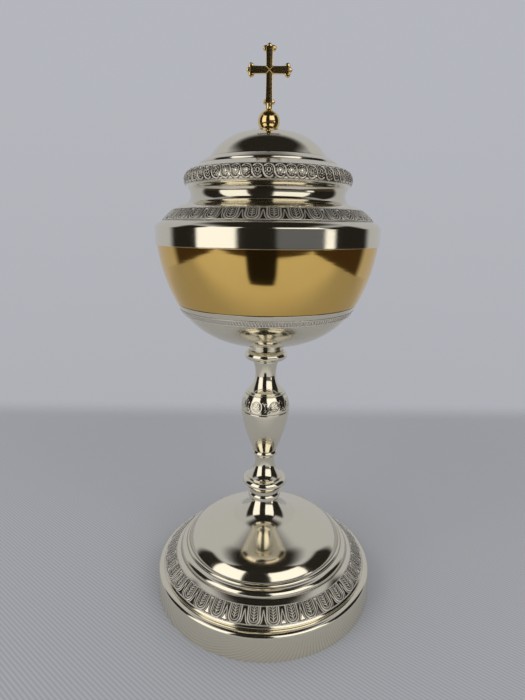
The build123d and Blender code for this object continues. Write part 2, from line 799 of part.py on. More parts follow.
os.makedirs("parts", exist_ok=True)
pieces = [
    foot_rim.part,
    foot_shell.part,
    foot_leaf_band,
    lower_collar.part,
    lower_spool.part,
    knop.part,
    upper_spool.part,
    upper_collar.part,
    calyx.part,
    calyx_bead_wire,
    gilt_cup.part,
    cup_boss.part,
    tie_rod.part,
    foot_washer,
    foot_nut,
    lid_rim_band.part,
    lid_bezel.part,
    lid_shell.part,
    lid_leaf_band,
    lid_scroll_band,
    finial_ball.part,
    finial_washer,
    finial_nut,
    cross.part,
]
for piece in pieces:
    export_step(piece, f"parts/{piece.label}.step")
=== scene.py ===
"""Covered ciborium: finished surfaces in silver plate and gilding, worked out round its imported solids."""

import json
from math import asin, atan2, ceil, cos, degrees, pi, radians, sin, sqrt, tan

import bpy
import numpy as np
from bpy.props import FloatProperty, FloatVectorProperty, IntProperty, PointerProperty
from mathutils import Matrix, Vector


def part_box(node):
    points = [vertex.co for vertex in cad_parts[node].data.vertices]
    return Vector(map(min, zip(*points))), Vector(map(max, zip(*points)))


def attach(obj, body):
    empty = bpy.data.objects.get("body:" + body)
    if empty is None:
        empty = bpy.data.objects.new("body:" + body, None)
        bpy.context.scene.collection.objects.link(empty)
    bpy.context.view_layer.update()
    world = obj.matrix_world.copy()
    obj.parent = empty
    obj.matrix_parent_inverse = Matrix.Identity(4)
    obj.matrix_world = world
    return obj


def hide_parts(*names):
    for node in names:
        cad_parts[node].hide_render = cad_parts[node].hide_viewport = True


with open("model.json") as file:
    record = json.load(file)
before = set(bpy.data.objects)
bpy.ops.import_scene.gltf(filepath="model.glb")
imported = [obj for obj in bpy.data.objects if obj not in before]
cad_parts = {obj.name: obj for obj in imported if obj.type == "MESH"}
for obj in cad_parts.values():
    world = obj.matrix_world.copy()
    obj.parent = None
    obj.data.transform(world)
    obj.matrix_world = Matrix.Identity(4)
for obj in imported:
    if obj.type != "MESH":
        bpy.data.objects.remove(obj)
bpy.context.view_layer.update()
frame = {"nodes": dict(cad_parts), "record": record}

bl_info = {
    "name": "Covered Ciborium",
    "version": (1, 0, 0),
    "blender": (4, 5, 0),
    "location": "3D View > Sidebar > Ciborium",
    "description": "Makes the finished surfaces of a covered ciborium round its packed solids",
    "category": "Add Mesh",
}

MILLIMETRE = 0.001

# Headings in a profile, and the radius at which an outline stops short of the axis
UP = (0, 1)
DOWN = (0, -1)
POLE = 0.02

# Sizes in millimetres, with points as (radius, height) up the object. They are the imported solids' own, apart
# from the strips' widths, the groove and ledge under the lid's dome, its rim's shoulder, and the cross's
# ridge, buds and crossing.
FOOT_SHEET = 0.9
FOOT_RIM = ((49.5, 0.0), (52.5, 0.0), (52.1, 11.0))
FOOT_SHOULDER = ((50.3, 11.0), 1.8)
FOOT_SEAT = (47.5, 12.8)
FOOT_SLOPE_LOW = (49.4, 13.9)
FOOT_SLOPE_HIGH = (40.8, 20.7)
FOOT_SLOPE_BULGE = 0.5
FOOT_BAND_INSETS = (0.8, 2.6)
FOOT_STEP = ((38.2, 21.0), 2.6)
FOOT_BEAD = ((36.8, 23.7), 1.1)
FOOT_DOME_BASE = (36.6, 25.1)
FOOT_EDGE_ROUND = 10.5
FOOT_CROWN_ROUND = 33.0
FOOT_LEANS = (22.0, 60.0, 71.5)
FOOT_THROAT = 6.25
FOOT_FLARE = 13.0
FOOT_TOP = 46.0
ROD_HOLE = 2.8
STRIP_SEAT = 0.3
STRIP_PROUD = 0.25

LOWER_COLLAR_FOOT = (7.7, 47.4)
LOWER_COLLAR_STEP = ((7.0, 48.9), (7.0, 50.8))
LOWER_COLLAR_RING = ((8.1, 54.6), 2.4)
LOWER_COLLAR_ANGLE = 66.44
LOWER_COLLAR_TOP = 56.8
LOWER_SPOOL_TOP = 67.6
LOWER_SPOOL = ((8.5, 57.4), (4.5, 65.0), (4.8, LOWER_SPOOL_TOP))
KNOP_NECK = 5.0
KNOP_BEAD_BULGE = 0.74
KNOP_GROOVE = (5.4, 70.5)
KNOP_BODY_BULGE = 0.7
KNOP_BELLY = (11.1, 89.5)
KNOP_RIM = (9.2, 99.2)
KNOP_TOP = 99.8
UPPER_SPOOL_TOP = 114.2
UPPER_SPOOL = ((8.3, 100.4), (4.75, 108.2), (5.9, UPPER_SPOOL_TOP))
UPPER_COLLAR_FOOT = (6.3, 115.1)
UPPER_COLLAR_RING = ((7.6, 117.25), 2.15)
UPPER_COLLAR_TOP = 123.2
BOSS_BORE = 4.5
BOSS_FLOOR = 116.9

BOWL_CENTRE = (9.0, 157.2)
BOWL_ROUND = 34.0
CALYX_SHEET = 0.8
CALYX_RIM_ANGLE = 27.4
SEAM_ANGLE = 0.45
NESTING_GAP = 0.1
CUP_WALL_ROUND = 69.5
CUP_WALL_HEIGHT = 24.2
CUP_SHEET = 0.9
CUP_BASE = 125.0
BEAD_ANGLE = 34.4
BEAD_WIDTH = 3.2

LID_SHEET = 0.9
LID_OVERHANG = 0.75
BEZEL_GAP = 0.3
BEZEL_SHEET = 0.8
BEZEL_DEPTH = 5.0
BEZEL_OVERLAP = 3.6
RIM_HEIGHT = 7.0
SHOULDER_BULGE = 0.45
SHOULDER_WIDTH = 3.1
SHOULDER_RISE = 2.5
RIM_LIP = 0.3
SKIRT_DEPTH = 2.1
SHELF = 0.9
LID_SLOPE_RISE = 6.2
LID_SLOPE_BULGE = 0.45
LID_BAND_INSETS = (0.25, 3.0)
LID_LEDGE = 0.3
LID_NECK = 32.25
LID_COVE = 4.1
LID_TORUS_OVERHANG = 2.4
LID_TORUS = 4.3
SCROLL_ANGLES = (-28.0, 60.0)
TORUS_TOP_ANGLE = 62.0
LID_CONE = 6.2
LID_GROOVE = ((29.0, 197.2), (28.7, 196.9), (28.3, 198.1))
LID_STEP = (26.0, 199.7)
LID_DOME_FOOT = (24.7, 199.7)
LID_CROWN_RADIUS = 6.0
LID_DOME_RISE = 12.5

BALL_RADIUS = 4.5
BALL_SEAT = 3.9
NECK_RADIUS = 1.75
NECK_WAIST = (1.25, 0.8)
CROSS_FOOT = 3.1
CROSS_SHAFT = 11.6
CROSS_TOP = 9.7
CROSS_SPAN = 9.15
BAR_WIDTH = 2.8
BAR_EDGE = 1.6
BAR_RIDGE = 1.7
BAR_SINK = 0.4
BAR_EASE = 0.24
BAR_STATIONS = (0, 0.01, 0.08, 0.2, 0.35, 0.5, 0.65, 0.8, 0.92, 0.99, 1.0)
BAR_SLIM = 0.94
BAR_FLARE = 0.14
CROSSING_LINE = 0.4
CROSSING_RISE = 0.3
BUD_RADIUS = 1.25
BUD_ROUND = 0.93
BUD_POINT = 0.16
BUD_POINT_WIDTH = 0.42
BUD_REACH = BUD_RADIUS * (BUD_ROUND + BUD_POINT)
BUD_FULLNESS = (0.8, 0.75)
BUD_POLE = 0.03
BUD_THICKNESS = 1.4
BUD_SPREAD = 1.4
FOOT_BUD_SPREAD = 0.8 * BUD_SPREAD
BUD_SETBACK = 2.0
BUD_LEAN = radians(70.0)
SHANK_RADIUS = 1.5
SHANK_EASE = 0.2
SHANK_TAIL = 0.8
SHANK_HOLE = 1.7
SHANK_THREAD = (0.5, 0.14)

ROD_RADIUS = 2.5
ROD_EASE = 0.5
ROD_THREAD = (0.8, 0.3)
THREAD_GAP = 0.05
THREAD_STEP = 0.12
WASHER_RADIUS = 17.0
WASHER_THICKNESS = 1.5
FOOT_NUT = (8.0, 4.0, 0.6)
FINIAL_WASHER = (4.0, 0.8)
FINIAL_NUT = (5.5, 2.4, 0.45)

# Engraving of the knop: its levels, the rosettes' middle and reach, and the plain line below them
ENGRAVED_LEVELS = (90.5, 99.1)
ENGRAVED_STEP = 0.17
ENGRAVED_FROM = (KNOP_RIM[0] - 0.5, KNOP_BELLY[1] - 6.0)
ENGRAVED_TARNISH = 0.9
ROSETTE_LEVEL = 95.0
ROSETTE_CELLS = 48
ROSETTE_REACH = (2.7, 2.95)
BORDER_DROP = 3.75
BORDER_LINE = 0.2

# Drawing of the leaf bands; the leaf's half width is a share of the pitch, the dart's tip
# of the strip's width
LEAF_SHARE = 0.315
LEAF_LIFT = 0.45
LEAF_LINE = 0.36
LINING_INSET = 0.86
LINING_LINE = 0.23
STEM_LINE = 0.2
FEATHER_PITCH = 1.05
FEATHER_LEAN = 0.8
FEATHER_LINE = 0.25
DART_TIP = 0.8
DART_GAP = 0.85
DART_LINE = 0.22

# Drawing of the scroll band: shares of the strip's width and of the circle, and the degrees round the circle
# over which its strand rises and sinks
SCROLL_REACH = 0.385
SCROLL_LINE = 0.3
SCROLL_RINGS = (0.63, 0.3)
SCROLL_RING_LINE = 0.2
SCROLL_RING_BEADS = 9
STRAND_OVER = ((-12, 6), (138, 156))
STRAND_UNDER = ((-52, -38), (168, 180))

# Drawing of the beaded wire
BEAD_HALVES = (0.32, 1.3)
BEAD_LEAN = 0.22
BEAD_EDGE = (0.7, 0.45)

# Spacing of points along a profile, and how many stand round Z
TOUCHING = 1e-6
FINE_STEP = 0.04
SHEET_STEP = 0.1
SHEET_SLACK = 0.99
LONGEST_STEP = 0.9
SHARPEST_TURN = radians(6.0)
STRIP_BACK_ROWS = 4
WIDE_SEGMENTS = 240
SEGMENTS = 208
SMALL_SEGMENTS = 128
NUT_SEGMENTS = 96
ROD_SEGMENTS = 64
BUD_SEGMENTS = 48
BUD_ROWS = 22

# A hollow is marked by its curvature, up to a limit in turns of a radian per millimetre, over a short length
HOLLOW_LIMIT = 4.0
HOLLOW_SPREAD = 0.35

# A nut: the directions of its flats in degrees, and the power that rounds the corners between them
NUT_FLATS = (30, 90, 150)
NUT_SHARPNESS = 60

# The table in millimetres, each edge as the two places between which it fades. In the metal it also has
# edges left, right and near, a front painted brighter as painted light, and a fade behind that starts sooner
# and ends later.
TABLE_REACH = 4000.0
TABLE_BEHIND = (205.0, 255.0)
TABLE_BEHIND_SHIFTS = (-150.0, 250.0)
TABLE_FAR = (900.0, 2600.0)
TABLE_LEFT = (-560.0, -520.0)
TABLE_RIGHT = (415.0, 445.0)
TABLE_NEAR = (-480.0, -440.0)
# Painted light: where the metal sees the table's front, it is painted brighter than the cloth
TABLE_LIT_FRONT = (-190.0, -60.0)
TWILL_LEAN = (0.62, 0.78)
TWILL_PITCH = 1.5
TWILL_TONES = (0.9, 1.1)

# Dim panels: middle in metres, then two axes with half lengths along them, and where their edges fade
SHADES = {
    "shade_overhead": ((0.0, -0.02, 0.6), ((0, 0.36), (1, 0.25)), (0.6, 1.2)),
    "shade_in_front": ((-0.022, -0.222, 0.075), ((0, 0.06), (2, 0.095)), (0.8, 1.1)),
}
SHADE_MARGIN = 1.3
CORNERS = ((-1, -1), (1, -1), (1, 1), (-1, 1))

# The room that the metal mirrors, in degrees to the right of the front and in degrees of rise. An opening has
# its two sides, its two levels, and how soft each pair is.
ROOM_FRONT = (-107.0, 113.0, 6.0)
LINTEL = 84.0
LINTEL_DROP = 39.0
LINTEL_TURNS = (40.0, 74.0)
LINTEL_SOFT = (-5.0, 5.0)
FLOOR_LINE = (-10.0, -4.0)
LEFT_WINDOW = ((-72.0, -30.0, 1.5), (-9.0, 46.0, 1.5))
RIGHT_WINDOW = ((8.0, 62.0, 1.5), (8.0, 47.0, 1.5))
SLATE = ((8.0, 62.0, 1.5), (-9.0, 8.0, 2.0))
PANE = ((56.0, 67.0, 1.5), (-9.0, 2.0, 1.0))
# Painted shade on the plain wall that the camera sees: darker towards its foot, between two rises, down to a
# share of its colour
WALL_RISE = (-30.0, 20.0)
WALL_FOOT_SHADE = 0.92

# Lamps, as degrees to the right and of rise, and the camera, in metres, degrees and pixels of the picture
LAMPS = {"left_window": (-51, 28), "right_window": (35, 30)}
LAMP_SIZE = 0.9
LAMP_DISTANCE = 1.4
LAMP_AIM = (0, 0, 0.1)
CAMERA_PLACE = (-0.0016, -0.2135, 0.17325)
CAMERA_DIP = 14.26
CAMERA_ROLL = 0.6
SENSOR_WIDTH = 36.0
FOCAL_PIXELS = 485.0
PICTURE_PIXELS = 700.0


def arc(centre, radius, start, end):
    """Points of a circle from one angle to another, in degrees, two degrees or less apart."""
    angle = np.radians(np.linspace(start, end, int(ceil(abs(end - start) / 2)) + 2))
    return np.stack((centre[0] + radius * np.cos(angle), centre[1] + radius * np.sin(angle)), 1)


def bulged(low, high, rise):
    """Centre, radius and two angles of the arc over a chord that stands a given rise proud of it."""
    chord = np.subtract(high, low)
    length = np.hypot(*chord)
    radius = length**2 / (8 * rise) + rise / 2
    inward = np.array((-chord[1], chord[0])) / length
    centre = np.add(low, high) / 2 + inward * (radius - rise)
    return centre, radius, *(degrees(atan2(p[1] - centre[1], p[0] - centre[0])) for p in (low, high))


def turning(start, radius, first, last):
    """Points of the arc that sets out from a start with its normal at one angle and ends at another."""
    lean = radians(first)
    return arc((start[0] - radius * cos(lean), start[1] - radius * sin(lean)), radius, first, last)


def crowned(base, crown):
    """Points of the arc from a dome's base to its level crown: its centre lies straight below the crown."""
    run = base[0] - crown[0]
    rise = crown[1] - base[1]
    radius = (run**2 + rise**2) / (2 * rise)
    centre = (crown[0], crown[1] - radius)
    return arc(centre, radius, degrees(atan2(base[1] - centre[1], run)), 90)


def leaving(start, end, heading):
    """Points of the arc that leaves a start along a heading and passes through an end."""
    side = np.array((-heading[1], heading[0]), float)
    step = np.subtract(end, start)
    radius = step @ step / (2 * step @ side)
    centre = start + side * radius
    first = atan2(*(np.subtract(start, centre)[::-1]))
    last = atan2(*(np.subtract(end, centre)[::-1]))
    sweep = (last - first) * np.sign(radius) % (2 * pi) * np.sign(radius)
    return arc(centre, abs(radius), degrees(first), degrees(first + sweep))


def path(*runs):
    """Lines and arcs joined end to end into one run of (radius, height) points."""
    return np.vstack([np.atleast_2d(np.asarray(run, float)) for run in runs])


def spaced(line, step):
    """The same run with points an even step apart, by linear interpolation over its length."""
    gaps = np.hypot(*np.diff(line[:, :2], axis=0).T)
    line = line[np.append(True, gaps > TOUCHING)]
    along = np.append(0, np.cumsum(gaps[gaps > TOUCHING]))
    places = np.linspace(0, along[-1], int(ceil(along[-1] / step)) + 1)
    return np.stack([np.interp(places, along, column) for column in line.T], 1)


def faced(line, inside=0.0):
    """A run of points with a third column, which is 0 on an outer face and 1 on an inner one."""
    return np.column_stack((line, np.full(len(line), inside)))


def sheet(line, thickness):
    """A spun sheet: out along the run, and back along the run moved to its left by the thickness.
    Where the moved run would cross itself, its points lie nearer than the thickness and are left out."""
    line = spaced(line, SHEET_STEP)
    ahead = np.gradient(line, axis=0)
    ahead /= np.hypot(*ahead.T)[:, None]
    back = line + thickness * np.stack((-ahead[:, 1], ahead[:, 0]), 1)
    nearest = np.sqrt(((back[:, None] - line[None]) ** 2).sum(2)).min(1)
    back = back[nearest > SHEET_SLACK * thickness][::-1]
    return np.vstack((faced(line), faced(back, 1.0)))


class Outline:
    """An outline with eased corners, and what a surface carried along it needs: its points, the normals
    to its right, how hollow it is, and whether it lies inside. Every corner is eased by averaging over a
    short length, and points stand closer together where the outline turns, and by a set step on outer faces
    between two levels, where these are given."""

    def __init__(self, line, closed=True, ease=0.16, longest=LONGEST_STEP, closer=(0, 0, 1)):
        if closed:
            line = np.vstack((line, line[:1]))
        fine = spaced(line, FINE_STEP)
        fine = fine[:-1] if closed else fine
        half = max(1, round(ease / FINE_STEP))
        fine = self.averaged(fine, half, closed)
        ahead = self.around(fine, closed)
        heading = ahead[:, 0] + 1j * ahead[:, 1]
        turned = np.angle(np.roll(heading, -1) * np.conj(heading))
        turned[-1] = turned[-1] if closed else 0
        bent = np.clip(-turned / FINE_STEP, 0, HOLLOW_LIMIT)[:, None]
        hollow = self.averaged(bent, round(HOLLOW_SPREAD / FINE_STEP), closed)
        low, high, close = closer
        near = (fine[:, 1] > low) & (fine[:, 1] < high) & (heading.imag > 0)
        crowd = np.cumsum(FINE_STEP / np.where(near, close, longest) + np.abs(turned) / SHARPEST_TURN)
        count = int(ceil(crowd[-1]))
        shares = (np.arange(count) + 0.5) / count if closed else np.linspace(0, 1, count)
        picks = np.interp(shares * crowd[-1], crowd, np.arange(len(fine)))
        normal = np.stack((ahead[:, 1], -ahead[:, 0]), 1) / np.abs(heading)[:, None]
        table = np.column_stack((fine, normal, hollow))
        table = np.stack([np.interp(picks, np.arange(len(fine)), column) for column in table.T], 1)
        self.closed = closed
        self.points = table[:, :2]
        self.inside = table[:, 2]
        self.normals = table[:, 3:5]
        self.hollow = np.clip(table[:, 5], 0, 1)

    @staticmethod
    def averaged(values, half, closed):
        """Each row averaged with its neighbours under a bell of weights, the ends of an open run held."""
        bell = np.hanning(2 * half + 3)[1:-1]
        bell /= bell.sum()
        ends = {"mode": "wrap"} if closed else {"mode": "reflect", "reflect_type": "odd"}
        wide = np.pad(values, ((half, half), (0, 0)), **ends)
        return np.stack([np.convolve(column, bell, "valid") for column in wide.T], 1)

    @staticmethod
    def around(values, closed):
        """Difference of each point's two neighbours, which is the heading there."""
        if closed:
            return (np.roll(values, -1, 0) - np.roll(values, 1, 0))[:, :2]
        return np.gradient(values, axis=0)[:, :2]


def carried_round(outline, segments, height=None):
    """Rows of points of an outline carried once round Z, each moved out along its normal by a height."""
    angle = np.arange(segments) * 2 * pi / segments
    radius = outline.points[:, :1]
    level = outline.points[:, 1:]
    if height is not None:
        radius = radius + outline.normals[:, :1] * height
        level = level + outline.normals[:, 1:] * height
    flat = np.broadcast_to(level, (len(outline.points), segments))
    return np.stack((radius * np.cos(angle), radius * np.sin(angle), flat), 2)


def grid_faces(rows, columns, closed):
    """Corner numbers of the quads between neighbouring rows, every row a full turn."""
    row = np.arange(rows if closed else rows - 1)[:, None]
    column = np.arange(columns)[None]
    beside = (column + 1) % columns
    above = (row + 1) % rows
    here = row * columns
    there = above * columns
    corners = (here + column, here + beside, there + beside, there + column)
    return np.stack(np.broadcast_arrays(*corners), 2).reshape(-1, 4)


def skin(rows, closed):
    """Points, quads and triangles of a surface made of rows; an open one is shut by a fan at each end."""
    count, columns = rows.shape[:2]
    points = rows.reshape(-1, 3)
    quads = grid_faces(count, columns, closed)
    if closed:
        return points, quads, np.empty((0, 3), int)
    column = np.arange(columns)
    beside = (column + 1) % columns
    last = (count - 1) * columns
    poles = np.full(columns, len(points))
    start = np.stack((poles, beside, column), 1)
    end = np.stack((last + column, last + beside, poles + 1), 1)
    points = np.vstack((points, rows[0].mean(0), rows[-1].mean(0)))
    return points, quads, np.vstack((start, end))


def joined(*skins):
    """Several skins put together as one, the later ones' corner numbers moved past the earlier ones'."""
    shifts = np.cumsum([0] + [len(one[0]) for one in skins])
    points = np.vstack([one[0] for one in skins])
    quads = np.vstack([one[1] + shift for one, shift in zip(skins, shifts)])
    triangles = np.vstack([one[2] + shift for one, shift in zip(skins, shifts)])
    return points, quads, triangles


def linked(name, data):
    """A new object that shows some data in the scene."""
    made = bpy.data.objects.new(name, data)
    bpy.context.scene.collection.objects.link(made)
    return made


def put(name, surface, node, finish, **fields):
    """Makes one piece from a surface in millimetres, dresses it in a finish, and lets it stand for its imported
    node. Fields are values on its points; the two poles of an open surface come last and get 0."""
    points, quads, triangles = surface
    mesh = bpy.data.meshes.new(name)
    mesh.vertices.add(len(points))
    mesh.vertices.foreach_set("co", (points * MILLIMETRE).astype(np.float32).ravel())
    mesh.loops.add(quads.size + triangles.size)
    mesh.loops.foreach_set("vertex_index", np.append(quads.ravel(), triangles.ravel()).astype(np.int32))
    mesh.polygons.add(len(quads) + len(triangles))
    starts = np.append(np.arange(len(quads)) * 4, quads.size + np.arange(len(triangles)) * 3)
    mesh.polygons.foreach_set("loop_start", starts.astype(np.int32))
    mesh.update(calc_edges=True)
    mesh.shade_smooth()
    for field, values in fields.items():
        layer = mesh.attributes.new(field, "FLOAT", "POINT")
        values = np.resize(np.append(values.ravel(), (0, 0)), len(points))
        layer.data.foreach_set("value", values.astype(np.float32))
    mesh.materials.append(material(finish))
    piece = linked(name, mesh)
    body = next(body for body, nodes in frame["record"]["behaviour"]["bodies"].items() if node in nodes)
    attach(piece, body)
    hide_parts(node)


def put_turned(name, outline, node, finish, segments=SEGMENTS):
    """A piece turned about Z from one outline, with its hollows and its inner face marked."""
    surface = skin(carried_round(outline, segments), outline.closed)
    spread = np.ones(segments)
    hollow = outline.hollow[:, None] * spread
    put(name, surface, node, finish, hollow=hollow, inside=outline.inside[:, None] * spread)


def ridge(distance, width):
    """Height of a rounded line: one on the line itself, falling off as a bell of that half width."""
    return np.exp(-((distance / width) ** 2))


def ramp(value, low, high):
    """Zero below a low value, one above a high one, and a smooth S between them."""
    share = np.clip((value - low) / (high - low), 0, 1)
    return share * share * (3 - 2 * share)


def leaf_relief(x, y, pitch, width):
    """Height of one leaf and its darts, in shares of the relief, x across from the leaf's middle and y up
    from the strip's lower edge. The leaf is a tongue: a half circle below and straight sides above, drawn by
    two ridges at set distances from that outline, with a stem and slanting feathers inside. A dart stands
    between two leaves: its legs follow the neighbours' round ends below and meet in a filled tip above."""
    side = np.abs(x)
    between = pitch / 2 - side
    half = LEAF_SHARE * pitch
    centre = half + LEAF_LIFT
    edge = np.where(y > centre, side, np.hypot(side, y - centre)) - half
    tongue = ridge(edge, LEAF_LINE)
    lining = 0.85 * ridge(edge + LINING_INSET, LINING_LINE)
    stem = ridge(side, STEM_LINE) * ramp(width - y, 0.3, 1.2)
    slant = (y - FEATHER_LEAN * side + 0.2) % FEATHER_PITCH - 0.52
    feathers = ridge(slant, FEATHER_LINE) * ramp(side, 0.12, 0.3)
    palmette = ramp(-edge, 1.15, 1.4) * ramp(y, 1.4, 1.9) * np.maximum(stem, 0.85 * feathers)
    tip = DART_TIP * width
    reach = half + DART_GAP
    straight = (pitch / 2 - reach) * np.clip((tip - y) / (tip - centre), 0, 1)
    bowed = pitch / 2 - np.sqrt(np.clip(reach**2 - (y - centre) ** 2, 0, None))
    leg = np.where(y > centre, straight, bowed)
    legs = 0.95 * ridge(between - leg, DART_LINE)
    filled = 0.9 * ramp(leg - between, -0.12, 0.05) * ramp(y, 0.6 * width, 0.66 * width)
    darts = ramp(edge, 0.3, 0.5) * np.maximum(legs, filled) * (y < tip)
    border = 0.95 * ridge(width - y - 0.18, 0.2) + 0 * x
    apron = ramp(edge, 0.2, 0.6) * (1 - ramp(y, 0.25, 0.75))
    return np.maximum.reduce((tongue, lining, palmette, darts, border, apron))


def scroll_relief(x, y, pitch, width):
    """Height of one running scroll, in shares of the relief, x across from its middle and y up from the
    strip's lower edge. A strand runs over this circle and on under the next: together they draw a circle that
    touches its neighbours, left open where the hidden strand passes below. Inside lie two rings, the outer
    one beaded, round a sunk eye."""
    y = y - width / 2
    reach = SCROLL_REACH * width
    size = (pitch / 2 + reach) / 2
    height = 0.8 * ridge(np.abs(y) - width / 2 + 0.2, 0.18) + 0 * x
    for shift in (-pitch, 0, pitch):
        across = (x + shift) / (pitch / 2)
        away = np.hypot(across, y / reach)
        turn = np.degrees(np.arctan2(y / reach, across))
        over = ramp(turn, *STRAND_OVER[0]) * (1 - ramp(turn, *STRAND_OVER[1]))
        under = (1 - ramp(turn, *STRAND_UNDER[0])) + ramp(turn, *STRAND_UNDER[1])
        height = np.maximum(height, ridge((away - 1) * size, SCROLL_LINE) * np.minimum(over + under, 1))
    away = np.hypot(x / (pitch / 2), y / reach)
    turn = np.arctan2(y / reach, x / (pitch / 2))
    outer, inner = (ridge((away - share) * size, SCROLL_RING_LINE) for share in SCROLL_RINGS)
    beads = outer * (0.72 + 0.28 * np.cos(SCROLL_RING_BEADS * turn))
    return np.maximum.reduce((height, 0.85 * beads, 0.9 * inner))


def bead_relief(x, y, pitch, width):
    """Height of a row of leaning beads between two plain edges, x across from a bead's middle and y up from
    the strip's lower edge: a bead falls off from its middle as a bell of the distance, and its middle moves
    sideways with y."""
    y = y - width / 2
    borders = 0.8 * ramp(np.abs(y), *(width / 2 - inset for inset in BEAD_EDGE)) + 0 * x
    across = (x / pitch + BEAD_LEAN * y + 0.5) % 1 - 0.5
    beads = ridge(np.hypot(across * pitch / BEAD_HALVES[0], y / BEAD_HALVES[1]) ** 1.5, 1.0)
    return np.maximum(borders, beads)


def rosette_relief(x, y, pitch):
    """Depth of the knop's engraving, x across from a rosette's middle and y up from the band's middle: two
    circles, six petals, a dot, and S lines that curl from one rosette to the next."""
    away = np.hypot(x, y)
    turn = np.arctan2(y, x)
    circles = np.maximum(ridge(away - 2.35, 0.17), 0.8 * ridge(away - 1.85, 0.13))
    petals = ridge(away - 1.0 - 0.35 * np.cos(6 * turn), 0.14)
    dot = ridge(away, 0.3)
    gap = np.abs(x) - pitch / 2
    curl = ridge(y + 2.4 * np.sin(pi * gap / 2.6) * np.sign(x), 0.16) * ramp(away, 2.45, 2.7)
    leaf = ridge(np.hypot(gap * 1.3, np.abs(y) - 1.5) - 0.6, 0.15) * ramp(away, 2.6, 2.8)
    return np.maximum.reduce((circles, 0.8 * petals, dot, 0.75 * curl, 0.7 * leaf))


def strip(name, node, centre, radius, angles, count, grid, relief, depth):
    """A rolled strip along an arc of its shell. Its section runs along the face, back under the shell, and
    is carried round Z; the face is raised by a relief that repeats a whole number of times. The grid is the
    columns in one repeat and the rows across the face, whose first and last stay level."""
    cells, across = grid
    depth = depth / MILLIMETRE
    low, high = (radians(angle) for angle in angles)
    width = (high - low) * radius
    face = np.linspace(low, high, across)
    section = np.append(face, np.linspace(high, low, STRIP_BACK_ROWS))
    back = np.full(STRIP_BACK_ROWS, radius - STRIP_SEAT)
    reach = np.append(np.full(across, radius + STRIP_PROUD - depth), back)
    segments = count * cells
    middle_radius = centre[0] + radius * cos((low + high) / 2)
    pitch = 2 * pi * middle_radius / count
    x = ((np.arange(segments) % cells) / cells - 0.5) * pitch
    y = (face - low) * radius
    share = np.zeros((len(section), segments))
    share[1 : across - 1] = relief(x[None], y[1:-1, None], pitch, width)
    distance = reach[:, None] + depth * share
    angle = np.arange(segments) * 2 * pi / segments
    across_radius = centre[0] + distance * np.cos(section)[:, None]
    level = centre[1] + distance * np.sin(section)[:, None]
    rows = np.stack((across_radius * np.cos(angle), across_radius * np.sin(angle), level), 2)
    put(name, skin(rows, True), node, chased_silver, relief=share)


class Socket:
    """A node's output. Arithmetic on it adds Math nodes to its tree and gives another output."""

    def __init__(self, shader, link):
        self.shader = shader
        self.link = link

    def math(self, operation, *others):
        """A Math node on this output and the others."""
        return self.shader.node("ShaderNodeMath", {"operation": operation}, (self, *others))

    def flipped(self, operation, other):
        """A Math node with this output as its second value."""
        return self.shader.node("ShaderNodeMath", {"operation": operation}, (other, self))

    def __add__(self, other):
        return self.math("ADD", other)

    def __radd__(self, other):
        return self.flipped("ADD", other)

    def __sub__(self, other):
        return self.math("SUBTRACT", other)

    def __rsub__(self, other):
        return self.flipped("SUBTRACT", other)

    def __mul__(self, other):
        return self.math("MULTIPLY", other)

    def __rmul__(self, other):
        return self.flipped("MULTIPLY", other)

    def __truediv__(self, other):
        return self.math("DIVIDE", other)

    def __pow__(self, other):
        return self.math("POWER", other)


